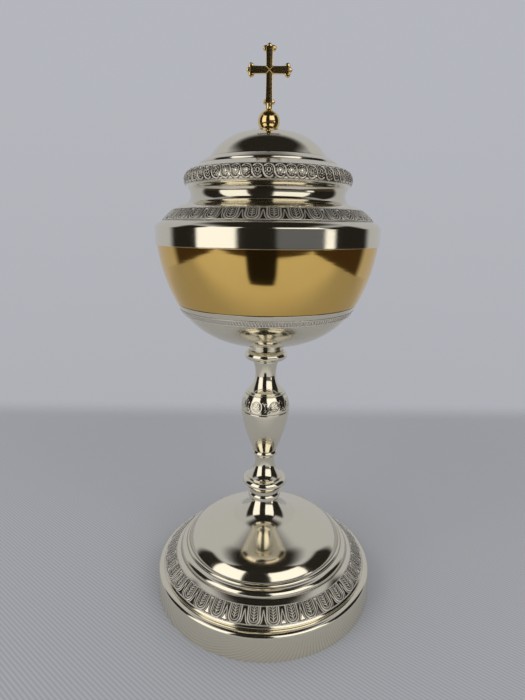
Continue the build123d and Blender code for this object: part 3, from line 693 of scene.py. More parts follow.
class Shader:
    """Builds a node tree from expressions."""

    def __init__(self, tree):
        self.tree = tree
        tree.nodes.clear()

    def node(self, kind, settings=None, sockets=(), output=0):
        """Adds a node: its settings first, then the values or links of its sockets by name or place."""
        made = self.tree.nodes.new(kind)
        for setting, value in (settings or {}).items():
            setattr(made, setting, value)
        for key, value in sockets.items() if isinstance(sockets, dict) else enumerate(sockets):
            if isinstance(value, Socket):
                self.tree.links.new(value.link, made.inputs[key])
            else:
                made.inputs[key].default_value = value
        return Socket(self, made.outputs[output]) if len(made.outputs) else made

    def place(self):
        """Object coordinates in millimetres."""
        coordinates = self.node("ShaderNodeTexCoord", output="Object")
        values = {0: coordinates, "Scale": 1 / MILLIMETRE}
        return self.node("ShaderNodeVectorMath", {"operation": "SCALE"}, values)

    def parts(self, vector):
        """The three numbers of a vector."""
        first = self.node("ShaderNodeSeparateXYZ", sockets=(vector,))
        outputs = first.link.node.outputs
        return [Socket(self, outputs[k]) for k in range(3)]

    def from_axis(self, x, y):
        """Distance from Z."""
        return (x * x + y * y) ** 0.5

    def vector(self, x, y, z):
        """A vector of three numbers."""
        return self.node("ShaderNodeCombineXYZ", sockets=(x, y, z))

    def noise(self, place, scale, detail=3.0, roughness=0.55):
        """Soft noise between 0 and 1; scale is in features per millimetre."""
        values = {"Vector": place, "Scale": scale, "Detail": detail, "Roughness": roughness}
        return self.node("ShaderNodeTexNoise", {"noise_dimensions": "3D"}, values, "Fac")

    def step(self, value, low, high):
        """Zero below a low value, one above a high one, and a smooth S between them."""
        values = {"Value": value, "From Min": low, "From Max": high}
        return self.node("ShaderNodeMapRange", {"interpolation_type": "SMOOTHSTEP"}, values)

    def between(self, value, low, high, soft):
        """One between two values, with soft ends."""
        return self.step(value, low - soft, low + soft) * (1 - self.step(value, high - soft, high + soft))

    def mix(self, factor, first, second):
        """A colour between two colours."""
        values = {0: factor, 6: first, 7: second}
        return self.node("ShaderNodeMix", {"data_type": "RGBA"}, values, 2)

    def field(self, name):
        """A value stored on the piece's points."""
        return self.node("ShaderNodeAttribute", {"attribute_name": name}, output="Fac")

    def bump(self, height, strength, distance):
        """A normal raised by a height; distance is in metres."""
        values = {"Strength": strength, "Distance": distance, "Height": height}
        return self.node("ShaderNodeBump", sockets=values)

    def metal(self, colour, roughness, normal):
        """A bare metal surface as the material's output."""
        values = {"Base Color": colour, "Metallic": 1.0, "Roughness": roughness, "Normal": normal}
        made = self.node("ShaderNodeBsdfPrincipled", sockets=values)
        self.node("ShaderNodeOutputMaterial", sockets={"Surface": made})

    def fading(self, gone, surface):
        """A surface that is clear where a factor is one, as the material's output."""
        clear = self.node("ShaderNodeBsdfTransparent")
        mixed = self.node("ShaderNodeMixShader", sockets=(gone, surface, clear))
        self.node("ShaderNodeOutputMaterial", sockets={"Surface": mixed})


def rgba(colour):
    """A colour with a full alpha."""
    return (*colour, 1.0)


def empty_material(name):
    """A new material, and the builder of its nodes."""
    made = bpy.data.materials.new(name)
    made.use_nodes = True
    return made, Shader(made.node_tree)


def material(finish):
    """The material that a finish's function builds, made the first time that it is asked for."""
    name = finish.__name__
    found = bpy.data.materials.get(name)
    if found is None:
        found, shader = empty_material(name)
        finish(shader, bpy.context.scene.ciborium_finishes)
    return found


def lathe_lines(shader, place, pitch):
    """Fine noise that is the same all round Z: it reads only the distance from Z and the height."""
    x, y, z = shader.parts(place)
    return shader.noise(shader.vector(shader.from_axis(x, y), z, 0.0), 1 / pitch, 2.0, 0.6)


def polished_silver(shader, finishes):
    """Silver plate polished on the wheel: faint clouds of handling, thin lathe lines, browner hollows."""
    place = shader.place()
    clouds = shader.noise(place, 0.07, 4.0)
    specks = shader.noise(place, 1.6, 2.0)
    lines = lathe_lines(shader, place, 0.25)
    hollow = shader.field("hollow")
    inside = shader.field("inside")
    shade = hollow * 0.55 * (0.5 + clouds) + inside * 0.3 + shader.step(clouds, 0.6, 0.8) * 0.06
    colour = shader.mix(shade, rgba(finishes.silver), rgba(finishes.tarnish))
    rough = finishes.polish + clouds * 0.05 + specks * 0.02 + lines * 0.02 + inside * 0.22
    shader.metal(colour, rough, shader.bump(lines * 0.6 + clouds * 2.0, 0.05, 0.0001))


def chased_silver(shader, finishes):
    """Rolled ornament: bright worn tops, and dark tarnish left in the hollows of the relief."""
    place = shader.place()
    relief = shader.field("relief")
    clouds = shader.noise(place, 0.12, 3.0)
    grain = shader.noise(place, 4.0, 2.0)
    worn = shader.step(relief + clouds * 0.2 - 0.1, 0.24, 0.64)
    colour = shader.mix(worn, rgba(finishes.recess), rgba(finishes.worn))
    rough = 0.5 - worn * 0.08 + grain * 0.04
    shader.metal(colour, rough, shader.bump(grain, 0.15, 0.00008))


def brushed_silver(shader, finishes):
    """The lid's plain band, brushed round: streaks long in the turn and short across it."""
    place = shader.place()
    x, y, z = shader.parts(place)
    turn = y.math("ARCTAN2", x)
    streaks = shader.noise(shader.vector(turn * 5.0, z * 6.0, shader.from_axis(x, y) * 6.0), 1.0, 3.0, 0.65)
    clouds = shader.noise(place, 0.09, 3.0)
    hollow = shader.field("hollow")
    colour = shader.mix(hollow * 0.5 + streaks * 0.08, rgba(finishes.silver), rgba(finishes.tarnish))
    rough = finishes.polish + streaks * 0.05 + clouds * 0.02
    shader.metal(colour, rough, shader.bump(streaks, 0.12, 0.00006))


def gilding(shader, finishes):
    """Polished gilding: a richer tone where it lies thick, thin hazy wipes, a dark line in the hollows."""
    place = shader.place()
    clouds = shader.noise(place, 0.05, 4.0)
    specks = shader.noise(place, 2.2, 2.0)
    lines = lathe_lines(shader, place, 0.3)
    hollow = shader.field("hollow")
    inside = shader.field("inside")
    rich = shader.mix(clouds, rgba(finishes.gilt), rgba(finishes.gilt_deep))
    colour = shader.mix(hollow * 0.7, rich, rgba(finishes.tarnish))
    rough = finishes.gilt_polish + clouds * 0.05 + specks * 0.02 + inside * 0.08
    shader.metal(colour, rough, shader.bump(lines * 0.5 + clouds * 2.0, 0.04, 0.0001))


def cast_gilding(shader, finishes):
    """Paler gilding on the small cast finial: slightly grainy, with deeper clouds."""
    place = shader.place()
    clouds = shader.noise(place, 0.35, 3.0)
    grain = shader.noise(place, 3.0, 2.0)
    colour = shader.mix(shader.step(clouds, 0.3, 0.75), rgba(finishes.gilt_pale), rgba(finishes.gilt))
    rough = finishes.gilt_polish + 0.02 + grain * 0.05 + clouds * 0.05
    shader.metal(colour, rough, shader.bump(grain, 0.05, 0.00005))


def turned_brass(shader, finishes):
    """Plain brass of the hidden fastenings: turning lines, brown clouds, duller than the plate."""
    place = shader.place()
    clouds = shader.noise(place, 0.25, 4.0)
    lines = lathe_lines(shader, place, 0.12)
    colour = shader.mix(shader.step(clouds, 0.35, 0.75) * 0.7, rgba(finishes.brass), rgba(finishes.tarnish))
    shader.metal(colour, 0.24 + clouds * 0.16 + lines * 0.08, shader.bump(lines, 0.2, 0.00008))


def wall_radius(level, inset):
    """Radius of the cup's wall at a height, a given depth inside its outer face."""
    return WALL_CENTRE[0] + sqrt((CUP_WALL_ROUND - inset) ** 2 - (WALL_CENTRE[1] - level) ** 2)


def wall_angle(level, inset):
    """Direction from the wall's centre to that point of the wall, in degrees."""
    return degrees(asin((level - WALL_CENTRE[1]) / (CUP_WALL_ROUND - inset)))


# Lines that several pieces share
RIM_DIRECTION = np.array((cos(radians(CALYX_RIM_ANGLE)), -sin(radians(CALYX_RIM_ANGLE))))
CALYX_RIM = BOWL_CENTRE + RIM_DIRECTION * BOWL_ROUND
WALL_CENTRE = CALYX_RIM - RIM_DIRECTION * CUP_WALL_ROUND
LIP_LEVEL = CALYX_RIM[1] + CUP_WALL_HEIGHT
FOOT_SLOPE = bulged(FOOT_SLOPE_LOW, FOOT_SLOPE_HIGH, FOOT_SLOPE_BULGE)
RIM_RADIUS = wall_radius(LIP_LEVEL, 0) + LID_OVERHANG
RIM_BORE = wall_radius(LIP_LEVEL, CUP_SHEET) - BEZEL_GAP
RIM_TOP = LIP_LEVEL + RIM_HEIGHT
SKIRT_RADIUS = RIM_RADIUS - SHOULDER_WIDTH
SLOPE_LEVEL = RIM_TOP + SHOULDER_RISE
SKIRT_BOTTOM = SLOPE_LEVEL - SKIRT_DEPTH
LID_SLOPE_HIGH = (LID_NECK + LID_COVE + LID_LEDGE, SLOPE_LEVEL + LID_SLOPE_RISE)
LID_SLOPE = bulged((SKIRT_RADIUS, SLOPE_LEVEL), LID_SLOPE_HIGH, LID_SLOPE_BULGE)
COVE_CENTRE = np.array((LID_NECK + LID_COVE, LID_SLOPE_HIGH[1] + LID_COVE))
TORUS_RADIUS = LID_NECK + LID_TORUS_OVERHANG - LID_TORUS
TORUS_RISE = sqrt((LID_TORUS + LID_COVE) ** 2 - (COVE_CENTRE[0] - TORUS_RADIUS) ** 2)
TORUS_CENTRE = np.array((TORUS_RADIUS, COVE_CENTRE[1] + TORUS_RISE))
TANGENT_ANGLE = degrees(atan2(-TORUS_RISE, COVE_CENTRE[0] - TORUS_RADIUS))
CONE_DIRECTION = np.array((-sin(radians(TORUS_TOP_ANGLE)), cos(radians(TORUS_TOP_ANGLE))))
TORUS_TOP = TORUS_CENTRE + LID_TORUS * np.array((CONE_DIRECTION[1], -CONE_DIRECTION[0]))
CONE_TOP = TORUS_TOP + LID_CONE * CONE_DIRECTION
LID_CROWN = np.array((LID_CROWN_RADIUS, CONE_TOP[1] + LID_DOME_RISE))
BALL_CENTRE = LID_CROWN[1] + BALL_SEAT
BALL_TOP = BALL_CENTRE + sqrt(BALL_RADIUS**2 - NECK_RADIUS**2)
CROSS_LOW = BALL_TOP + CROSS_FOOT
CROSS_MIDDLE = CROSS_LOW + CROSS_SHAFT
CROSS_HIGH = CROSS_MIDDLE + CROSS_TOP
FINIAL_WASHER_BOTTOM = LID_CROWN[1] - LID_SHEET - FINIAL_WASHER[1]
FINIAL_NUT_BOTTOM = FINIAL_WASHER_BOTTOM - FINIAL_NUT[1]
FOOT_NUT_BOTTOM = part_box("foot_nut")[0].z / MILLIMETRE
WASHER_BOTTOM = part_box("foot_washer")[0].z / MILLIMETRE
ROD_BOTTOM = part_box("tie_rod")[0].z / MILLIMETRE
ROD_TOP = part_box("tie_rod")[1].z / MILLIMETRE


def strip_angles(slope, insets):
    """The two angles of a strip that stops short of its slope's ends by two lengths of arc."""
    return slope[2] + degrees(insets[0] / slope[1]), slope[3] - degrees(insets[1] / slope[1])


def foot_rim_line():
    """Rest flange, wall, round shoulder and seat of the foot's rim."""
    return path(FOOT_RIM, arc(*FOOT_SHOULDER, 0, 90), FOOT_SEAT)


def foot_shell_line():
    """Outer face of the foot's shell from its seat up the slope, step, bead and dome to the neck. The dome
    is a tight edge, a flatter crown, a cone, and a flare that leaves the cone and narrows to its throat."""
    step_top = FOOT_STEP[0][1] + FOOT_STEP[1]
    (bead_radius, bead_level), bead_round = FOOT_BEAD
    edge = turning(FOOT_DOME_BASE, FOOT_EDGE_ROUND, *FOOT_LEANS[:2])
    crown = turning(edge[-1], FOOT_CROWN_ROUND, *FOOT_LEANS[1:])
    lean = radians(FOOT_LEANS[2])
    flare_foot = FOOT_THROAT + FOOT_FLARE * (1 - cos(lean))
    flare_level = crown[-1][1] + (crown[-1][0] - flare_foot) / tan(lean) + FOOT_FLARE * sin(lean)
    neck_lean = degrees(asin((flare_level - FOOT_TOP) / FOOT_FLARE))
    flare = arc((FOOT_THROAT + FOOT_FLARE, flare_level), FOOT_FLARE, 180 + FOOT_LEANS[2], 180 + neck_lean)
    return path(
        (FOOT_SLOPE_LOW[0], FOOT_SEAT[1]), arc(*FOOT_SLOPE), (FOOT_SLOPE_HIGH[0], FOOT_STEP[0][1]),
        arc(*FOOT_STEP, 0, 90), (bead_radius + bead_round, step_top),
        arc(*FOOT_BEAD, 0, 90), (FOOT_DOME_BASE[0], bead_level + bead_round),
        edge, crown, flare, (ROD_HOLE, FOOT_TOP),
    )


def lower_collar_line():
    """A shouldered foot, a short step, and a full round ring."""
    step_low, step_high = LOWER_COLLAR_STEP
    return path(
        (ROD_HOLE, FOOT_TOP), (LOWER_COLLAR_FOOT[0], FOOT_TOP),
        leaving(LOWER_COLLAR_FOOT, step_low, UP), step_high,
        arc(*LOWER_COLLAR_RING, -LOWER_COLLAR_ANGLE, LOWER_COLLAR_ANGLE), (ROD_HOLE, LOWER_COLLAR_TOP),
    )


def spool_line(bottom, foot, waist, neck):
    """A foot band drawn in to a waist by one arc, and out again to a neck by another."""
    return path(
        (ROD_HOLE, bottom), (foot[0], bottom), leaving(waist, foot, DOWN)[::-1],
        leaving(waist, neck, UP), (ROD_HOLE, neck[1]),
    )


def knop_line():
    """A bead, a long pear-shaped body, a shoulder that runs on from it, and a short rim."""
    body = bulged(KNOP_GROOVE, KNOP_BELLY, KNOP_BODY_BULGE)
    heading = (-sin(radians(body[3])), cos(radians(body[3])))
    bead = bulged((KNOP_NECK, LOWER_SPOOL_TOP), KNOP_GROOVE, KNOP_BEAD_BULGE)
    return path(
        (ROD_HOLE, LOWER_SPOOL_TOP), arc(*bead), arc(*body),
        leaving(KNOP_BELLY, KNOP_RIM, heading), (KNOP_RIM[0], KNOP_TOP), (ROD_HOLE, KNOP_TOP),
    )


def upper_collar_line():
    """A foot band, a half-round ring and a neck, bored out from above."""
    return path(
        (ROD_HOLE, UPPER_SPOOL_TOP), (UPPER_COLLAR_FOOT[0], UPPER_SPOOL_TOP), UPPER_COLLAR_FOOT,
        arc(*UPPER_COLLAR_RING, -90, 90), (UPPER_COLLAR_RING[0][0], UPPER_COLLAR_TOP),
        (BOSS_BORE, UPPER_COLLAR_TOP), (BOSS_BORE, BOSS_FLOOR), (ROD_HOLE, BOSS_FLOOR),
    )


def calyx_line():
    """A flat ring round the boss and a round bowl that stops a hair below the cup's wall."""
    rim = -CALYX_RIM_ANGLE - SEAM_ANGLE
    return path((BOSS_BORE, UPPER_COLLAR_TOP), arc(BOWL_CENTRE, BOWL_ROUND, -90, rim))


def cup_line():
    """Out under the cup and up its wall, over the lip, and back down inside to the middle of the floor."""
    nested_outer = BOWL_ROUND - CALYX_SHEET - NESTING_GAP
    nested_inner = nested_outer - CUP_SHEET
    floor = CUP_BASE + CUP_SHEET
    outer_base = degrees(asin((CUP_BASE - BOWL_CENTRE[1]) / nested_outer))
    inner_base = degrees(asin((floor - BOWL_CENTRE[1]) / nested_inner))
    jog_low = -CALYX_RIM_ANGLE + degrees(CUP_SHEET / nested_inner)
    jog_high = -CALYX_RIM_ANGLE + degrees(2 * CUP_SHEET / CUP_WALL_ROUND)
    inner_round = CUP_WALL_ROUND - CUP_SHEET
    outer = path(
        (POLE, CUP_BASE), arc(BOWL_CENTRE, nested_outer, outer_base, -CALYX_RIM_ANGLE),
        arc(WALL_CENTRE, CUP_WALL_ROUND, -CALYX_RIM_ANGLE, wall_angle(LIP_LEVEL, 0)),
    )
    inner = path(
        arc(WALL_CENTRE, inner_round, wall_angle(LIP_LEVEL, CUP_SHEET), jog_high),
        arc(BOWL_CENTRE, nested_inner, jog_low, inner_base), (POLE, floor),
    )
    return np.vstack((faced(outer), faced(inner, 1.0)))


def rim_band_line():
    """The lid's turned band: upright wall, rounded sloping shoulder, lip, and a shelf inside."""
    shelf_radius = SKIRT_RADIUS - LID_SHEET
    return path(
        (RIM_BORE, LIP_LEVEL), (RIM_RADIUS, LIP_LEVEL),
        arc(*bulged((RIM_RADIUS, RIM_TOP), (SKIRT_RADIUS + RIM_LIP, SLOPE_LEVEL), SHOULDER_BULGE)),
        (SKIRT_RADIUS, SLOPE_LEVEL), (SKIRT_RADIUS, SKIRT_BOTTOM), (shelf_radius, SKIRT_BOTTOM),
        (shelf_radius, SKIRT_BOTTOM - SHELF), (RIM_BORE, LIP_LEVEL + BEZEL_OVERLAP),
    )


def bezel_line():
    """A thin ring that steps down into the cup."""
    bottom = LIP_LEVEL - BEZEL_DEPTH
    foot = wall_radius(bottom, CUP_SHEET) - BEZEL_GAP
    top = LIP_LEVEL + BEZEL_OVERLAP
    return path((
        (foot, bottom), (RIM_BORE, LIP_LEVEL), (RIM_BORE, top), (RIM_BORE - BEZEL_SHEET, top),
        (RIM_BORE - BEZEL_SHEET, LIP_LEVEL), (foot - BEZEL_SHEET, bottom),
    ))


def lid_shell_line():
    """Skirt, slope, cove, torus, groove, cone, ledge, dome and level crown of the lid."""
    return path(
        (SKIRT_RADIUS, SKIRT_BOTTOM), arc(*LID_SLOPE), arc(COVE_CENTRE, LID_COVE, 270, TANGENT_ANGLE + 180),
        arc(TORUS_CENTRE, LID_TORUS, TANGENT_ANGLE, TORUS_TOP_ANGLE), LID_GROOVE, LID_STEP,
        crowned(LID_DOME_FOOT, LID_CROWN), (SHANK_HOLE, LID_CROWN[1]),
    )


def ball_line():
    """A ball with a flat seat below and above, drilled for the shank."""
    low = degrees(asin(BALL_SEAT / BALL_RADIUS))
    high = degrees(asin((BALL_TOP - BALL_CENTRE) / BALL_RADIUS))
    surface = arc((0, BALL_CENTRE), BALL_RADIUS, -low, high)
    return path((SHANK_HOLE, LID_CROWN[1]), surface, (SHANK_HOLE, BALL_TOP))


def washer_line(bottom, bore, radius, thickness):
    """The section of a flat washer."""
    top = bottom + thickness
    return path(((bore, bottom), (radius, bottom), (radius, top), (bore, top)))


def threaded(outline, span, pitch, depth):
    """Rows of a turned rod whose radius drops by a triangle wave of height minus turn, within a span."""
    low, high = span
    turn = np.arange(ROD_SEGMENTS) / ROD_SEGMENTS
    level = outline.points[:, 1:]
    wave = np.abs((level / pitch - turn) % 1 * 2 - 1)
    cut = ramp(level, low, low + pitch) * (1 - ramp(level, high - pitch, high))
    upright = np.clip(outline.normals[:, :1], 0, 1)
    return carried_round(outline, ROD_SEGMENTS, -depth * wave * cut * upright)


def hexagon_nut(bottom, flats, height, ease, bore):
    """A nut: its section, drawn for the flats, is stretched out to a hexagon with slightly rounded corners.
    The hexagon's radius is the flats' half width over the root of three cosines' high powers added up."""
    half = flats / 2
    top = bottom + height
    section = path(((bore, bottom), (half - ease, bottom), (half, bottom + ease), (half, top), (bore, top)))
    outline = Outline(faced(section), ease=0.1, longest=0.5)
    angle = np.arange(NUT_SEGMENTS) * 2 * pi / NUT_SEGMENTS
    facing = np.abs(np.cos(angle[:, None] - np.radians(NUT_FLATS))) ** NUT_SHARPNESS
    reach = half / facing.sum(1) ** (1 / NUT_SHARPNESS)
    stretch = (reach - bore) / (half - bore)
    radius = bore + (outline.points[:, :1] - bore) * stretch
    level = np.broadcast_to(outline.points[:, 1:], radius.shape)
    return skin(np.stack((radius * np.cos(angle), radius * np.sin(angle), level), 2), True)


def ridged_bar(start, end, width=BAR_WIDTH, sides=BAR_EDGE, through=BAR_RIDGE):
    """A bar of the cross: a hexagon with a ridge front and back, carried along a straight line and flared
    a little towards its ends."""
    half, edge, crest = width / 2, sides / 2, through / 2
    corners = ((half, -edge), (half, edge), (0, crest), (-half, edge), (-half, -edge), (0, -crest))
    section = Outline(faced(path(corners)), ease=min(BAR_EASE, width / 4), longest=0.4).points
    share = np.array(BAR_STATIONS)
    flare = BAR_SLIM + BAR_FLARE * np.abs(2 * share - 1) ** 3
    start, end = np.array(start, float), np.array(end, float)
    ahead = (end - start) / np.linalg.norm(end - start)
    aside = np.cross((0, 1, 0), ahead)
    middle = start + share[:, None] * (end - start)
    across = section[:, 0][None, :, None] * flare[:, None, None] * aside
    deep = section[:, 1][None, :, None] * np.array((0, 1, 0))
    return skin((middle[:, None] + across + deep)[:, ::-1], False)


def bud(centre, heading):
    """A lobe of the cross: a round button drawn out to a soft point along its heading. Its plan's radius
    grows by a bell of the angle, and its thickness falls off from the middle as a low dome."""
    turn = np.arange(BUD_SEGMENTS) * 2 * pi / BUD_SEGMENTS
    off = (turn - heading + pi) % (2 * pi) - pi
    plan = BUD_RADIUS * (BUD_ROUND + BUD_POINT * ridge(off, BUD_POINT_WIDTH))
    tilt = np.linspace(BUD_POLE, pi - BUD_POLE, BUD_ROWS)
    spread = np.sin(tilt)[:, None] ** BUD_FULLNESS[0]
    front = np.cos(tilt)
    through = -BUD_THICKNESS / 2 * np.sign(front) * np.abs(front) ** BUD_FULLNESS[1]
    x = centre[0] + spread * plan * np.cos(turn)
    z = centre[1] + spread * plan * np.sin(turn)
    y = np.broadcast_to(through[:, None], x.shape)
    return skin(np.stack((x, y, z), 2)[:, ::-1], False)


def cross_surface():
    """Two ridged bars with two thin raised lines over their crossing, a trefoil of buds on three ends, a pair
    of buds at the foot, and neck and shank."""
    level = CROSS_MIDDLE
    tip = CROSS_SPAN - BUD_REACH
    top = CROSS_HIGH - BUD_REACH
    back = CROSS_SPAN - BUD_SETBACK
    corner = BAR_WIDTH / 2
    bars = [
        ridged_bar((0, 0, CROSS_LOW - BAR_SINK), (0, 0, top)),
        ridged_bar((-tip, 0, level), (tip, 0, level)),
    ]
    buds = [bud((tip, level), 0), bud((-tip, level), pi), bud((0, top), pi / 2)]
    for side in (-1, 1):
        line = (-corner, 0, level - side * corner), (corner, 0, level + side * corner)
        bars.append(ridged_bar(*line, CROSSING_LINE, BAR_RIDGE, BAR_RIDGE + CROSSING_RISE))
        buds.append(bud((back, level + side * BUD_SPREAD), side * BUD_LEAN))
        buds.append(bud((-back, level + side * BUD_SPREAD), pi - side * BUD_LEAN))
        buds.append(bud((side * BUD_SPREAD, CROSS_HIGH - BUD_SETBACK), pi / 2 - side * BUD_LEAN))
        buds.append(bud((side * FOOT_BUD_SPREAD, CROSS_LOW), pi / 2 - side * pi / 2))
    tail = FINIAL_NUT_BOTTOM - SHANK_TAIL
    waist = (NECK_WAIST[0], BALL_TOP + NECK_WAIST[1])
    line = path(
        (POLE, tail), (SHANK_RADIUS - SHANK_EASE, tail), (SHANK_RADIUS, tail + SHANK_EASE),
        (SHANK_RADIUS, BALL_TOP), leaving(waist, (NECK_RADIUS, BALL_TOP), DOWN)[::-1],
        leaving(waist, (BUD_SPREAD, CROSS_LOW - BUD_RADIUS / 2), UP), (POLE, CROSS_LOW),
    )
    shank = Outline(faced(line), closed=False, ease=0.08, longest=THREAD_STEP)
    rows = threaded(shank, (tail, FINIAL_WASHER_BOTTOM), *SHANK_THREAD)
    return joined(*bars, *buds, skin(rows, False))


class CiboriumFinishes(bpy.types.PropertyGroup):
    """Colours and polish of the metals."""

    silver: FloatVectorProperty(
        name="Silver", description="Colour of the polished silver plate",
        subtype="COLOR", size=3, min=0, max=1, default=(0.90, 0.84, 0.68),
    )
    tarnish: FloatVectorProperty(
        name="Tarnish", description="Colour of the plate where tarnish stays in hollows",
        subtype="COLOR", size=3, min=0, max=1, default=(0.17, 0.14, 0.10),
    )
    worn: FloatVectorProperty(
        name="Worn silver", description="Colour of the raised parts of the chased bands",
        subtype="COLOR", size=3, min=0, max=1, default=(0.97, 0.92, 0.81),
    )
    recess: FloatVectorProperty(
        name="Recess", description="Colour of the sunk ground of the chased bands",
        subtype="COLOR", size=3, min=0, max=1, default=(0.07, 0.056, 0.04),
    )
    gilt: FloatVectorProperty(
        name="Gilding", description="Colour of the gilding",
        subtype="COLOR", size=3, min=0, max=1, default=(0.90, 0.62, 0.20),
    )
    gilt_pale: FloatVectorProperty(
        name="Pale gilding", description="Colour of the finial's thinner gilding",
        subtype="COLOR", size=3, min=0, max=1, default=(0.93, 0.73, 0.39),
    )
    gilt_deep: FloatVectorProperty(
        name="Deep gilding", description="Colour of the gilding where it lies thick",
        subtype="COLOR", size=3, min=0, max=1, default=(0.80, 0.50, 0.13),
    )
    brass: FloatVectorProperty(
        name="Brass", description="Colour of the fastenings",
        subtype="COLOR", size=3, min=0, max=1, default=(0.72, 0.53, 0.25),
    )
    polish: FloatProperty(
        name="Silver roughness", description="Roughness of the best polished silver",
        subtype="FACTOR", min=0, max=1, default=0.06,
    )
    gilt_polish: FloatProperty(
        name="Gilding roughness", description="Roughness of the polished gilding",
        subtype="FACTOR", min=0, max=1, default=0.05,
    )


class CiboriumOrnament(bpy.types.PropertyGroup):
    """Numbers and depths of the ornament."""

    foot_leaves: IntProperty(
        name="Foot leaves", description="Leaves round the foot's band", min=8, max=60, default=36
    )
    lid_leaves: IntProperty(
        name="Lid leaves", description="Leaves round the lid's lower band", min=8, max=60, default=35
    )
    scrolls: IntProperty(
        name="Scrolls", description="Scrolls round the lid's upper band", min=8, max=80, default=54
    )
    rosettes: IntProperty(name="Rosettes", description="Rosettes round the knop", min=3, max=16, default=8)
    beads: IntProperty(name="Beads", description="Beads round the bowl's wire", min=40, max=400, default=188)
    leaf_depth: FloatProperty(
        name="Leaf depth", description="Depth of the leaf bands' relief",
        unit="LENGTH", min=0, max=0.001, default=0.00026,
    )
    scroll_depth: FloatProperty(
        name="Scroll depth", description="Depth of the scroll band's relief",
        unit="LENGTH", min=0, max=0.001, default=0.00028,
    )
    bead_depth: FloatProperty(
        name="Bead depth", description="Depth of the beaded wire",
        unit="LENGTH", min=0, max=0.001, default=0.0003,
    )
    engraving: FloatProperty(
        name="Engraving", description="Depth of the knop's engraved lines",
        unit="LENGTH", min=0, max=0.0005, default=0.00016,
    )


class CiboriumStage(bpy.types.PropertyGroup):
    """Colours and light of the studio."""

    table: FloatVectorProperty(
        name="Table", description="Colour of the table top",
        subtype="COLOR", size=3, min=0, max=1, default=(0.365, 0.372, 0.40),
    )
    # Painted light: the table's front as the metal sees it, painted brighter than the cloth
    table_lit_front: FloatVectorProperty(
        name="Table front", description="Colour of the table's bright front, seen only in the metal",
        subtype="COLOR", size=3, min=0, max=1, default=(0.56, 0.56, 0.57),
    )
    wall: FloatVectorProperty(
        name="Wall", description="Colour of the wall behind",
        subtype="COLOR", size=3, min=0, max=1, default=(0.46, 0.47, 0.51),
    )
    shade: FloatVectorProperty(
        name="Room", description="Colour of the dim side of the room, seen only in the metal",
        subtype="COLOR", size=3, min=0, max=1, default=(0.014, 0.012, 0.010),
    )
    floor: FloatVectorProperty(
        name="Floor", description="Colour of the floor beyond the table, seen only in the metal",
        subtype="COLOR", size=3, min=0, max=1, default=(0.05, 0.034, 0.022),
    )
    slate: FloatVectorProperty(
        name="Slate", description="Colour of the grey field below the right window, seen only in the metal",
        subtype="COLOR", size=3, min=0, max=1, default=(0.12, 0.125, 0.14),
    )
    daylight: FloatVectorProperty(
        name="Daylight", description="Light in the windows, seen only in the metal",
        subtype="COLOR", size=3, min=0, max=2, default=(1.15, 1.13, 1.1),
    )
    fill: FloatProperty(
        name="Fill", description="Strength of the even light from all round", min=0, max=2, default=0.72
    )
    window: FloatProperty(
        name="Window", description="Power of each soft window lamp", unit="POWER", min=0, max=50, default=5.0
    )


class MakeFoot(bpy.types.Operator):
    """Make the foot's rim and its spun shell"""

    bl_idname = "ciborium.make_foot"
    bl_label = "Foot"

    def execute(self, context):
        rim = Outline(sheet(foot_rim_line(), FOOT_SHEET), ease=0.25)
        put_turned("foot_rim_polished", rim, "foot_rim", polished_silver, WIDE_SEGMENTS)
        shell = Outline(sheet(foot_shell_line(), FOOT_SHEET), ease=0.22)
        put_turned("foot_shell_polished", shell, "foot_shell", polished_silver, WIDE_SEGMENTS)
        return {"FINISHED"}


class MakeFootBand(bpy.types.Operator):
    """Make the leaf band round the foot"""

    bl_idname = "ciborium.make_foot_band"
    bl_label = "Foot leaf band"

    def execute(self, context):
        ornament = context.scene.ciborium_ornament
        strip(
            "foot_leaf_band_chased", "foot_leaf_band", *FOOT_SLOPE[:2],
            strip_angles(FOOT_SLOPE, FOOT_BAND_INSETS), ornament.foot_leaves,
            grid=(56, 44), relief=leaf_relief, depth=ornament.leaf_depth,
        )
        return {"FINISHED"}


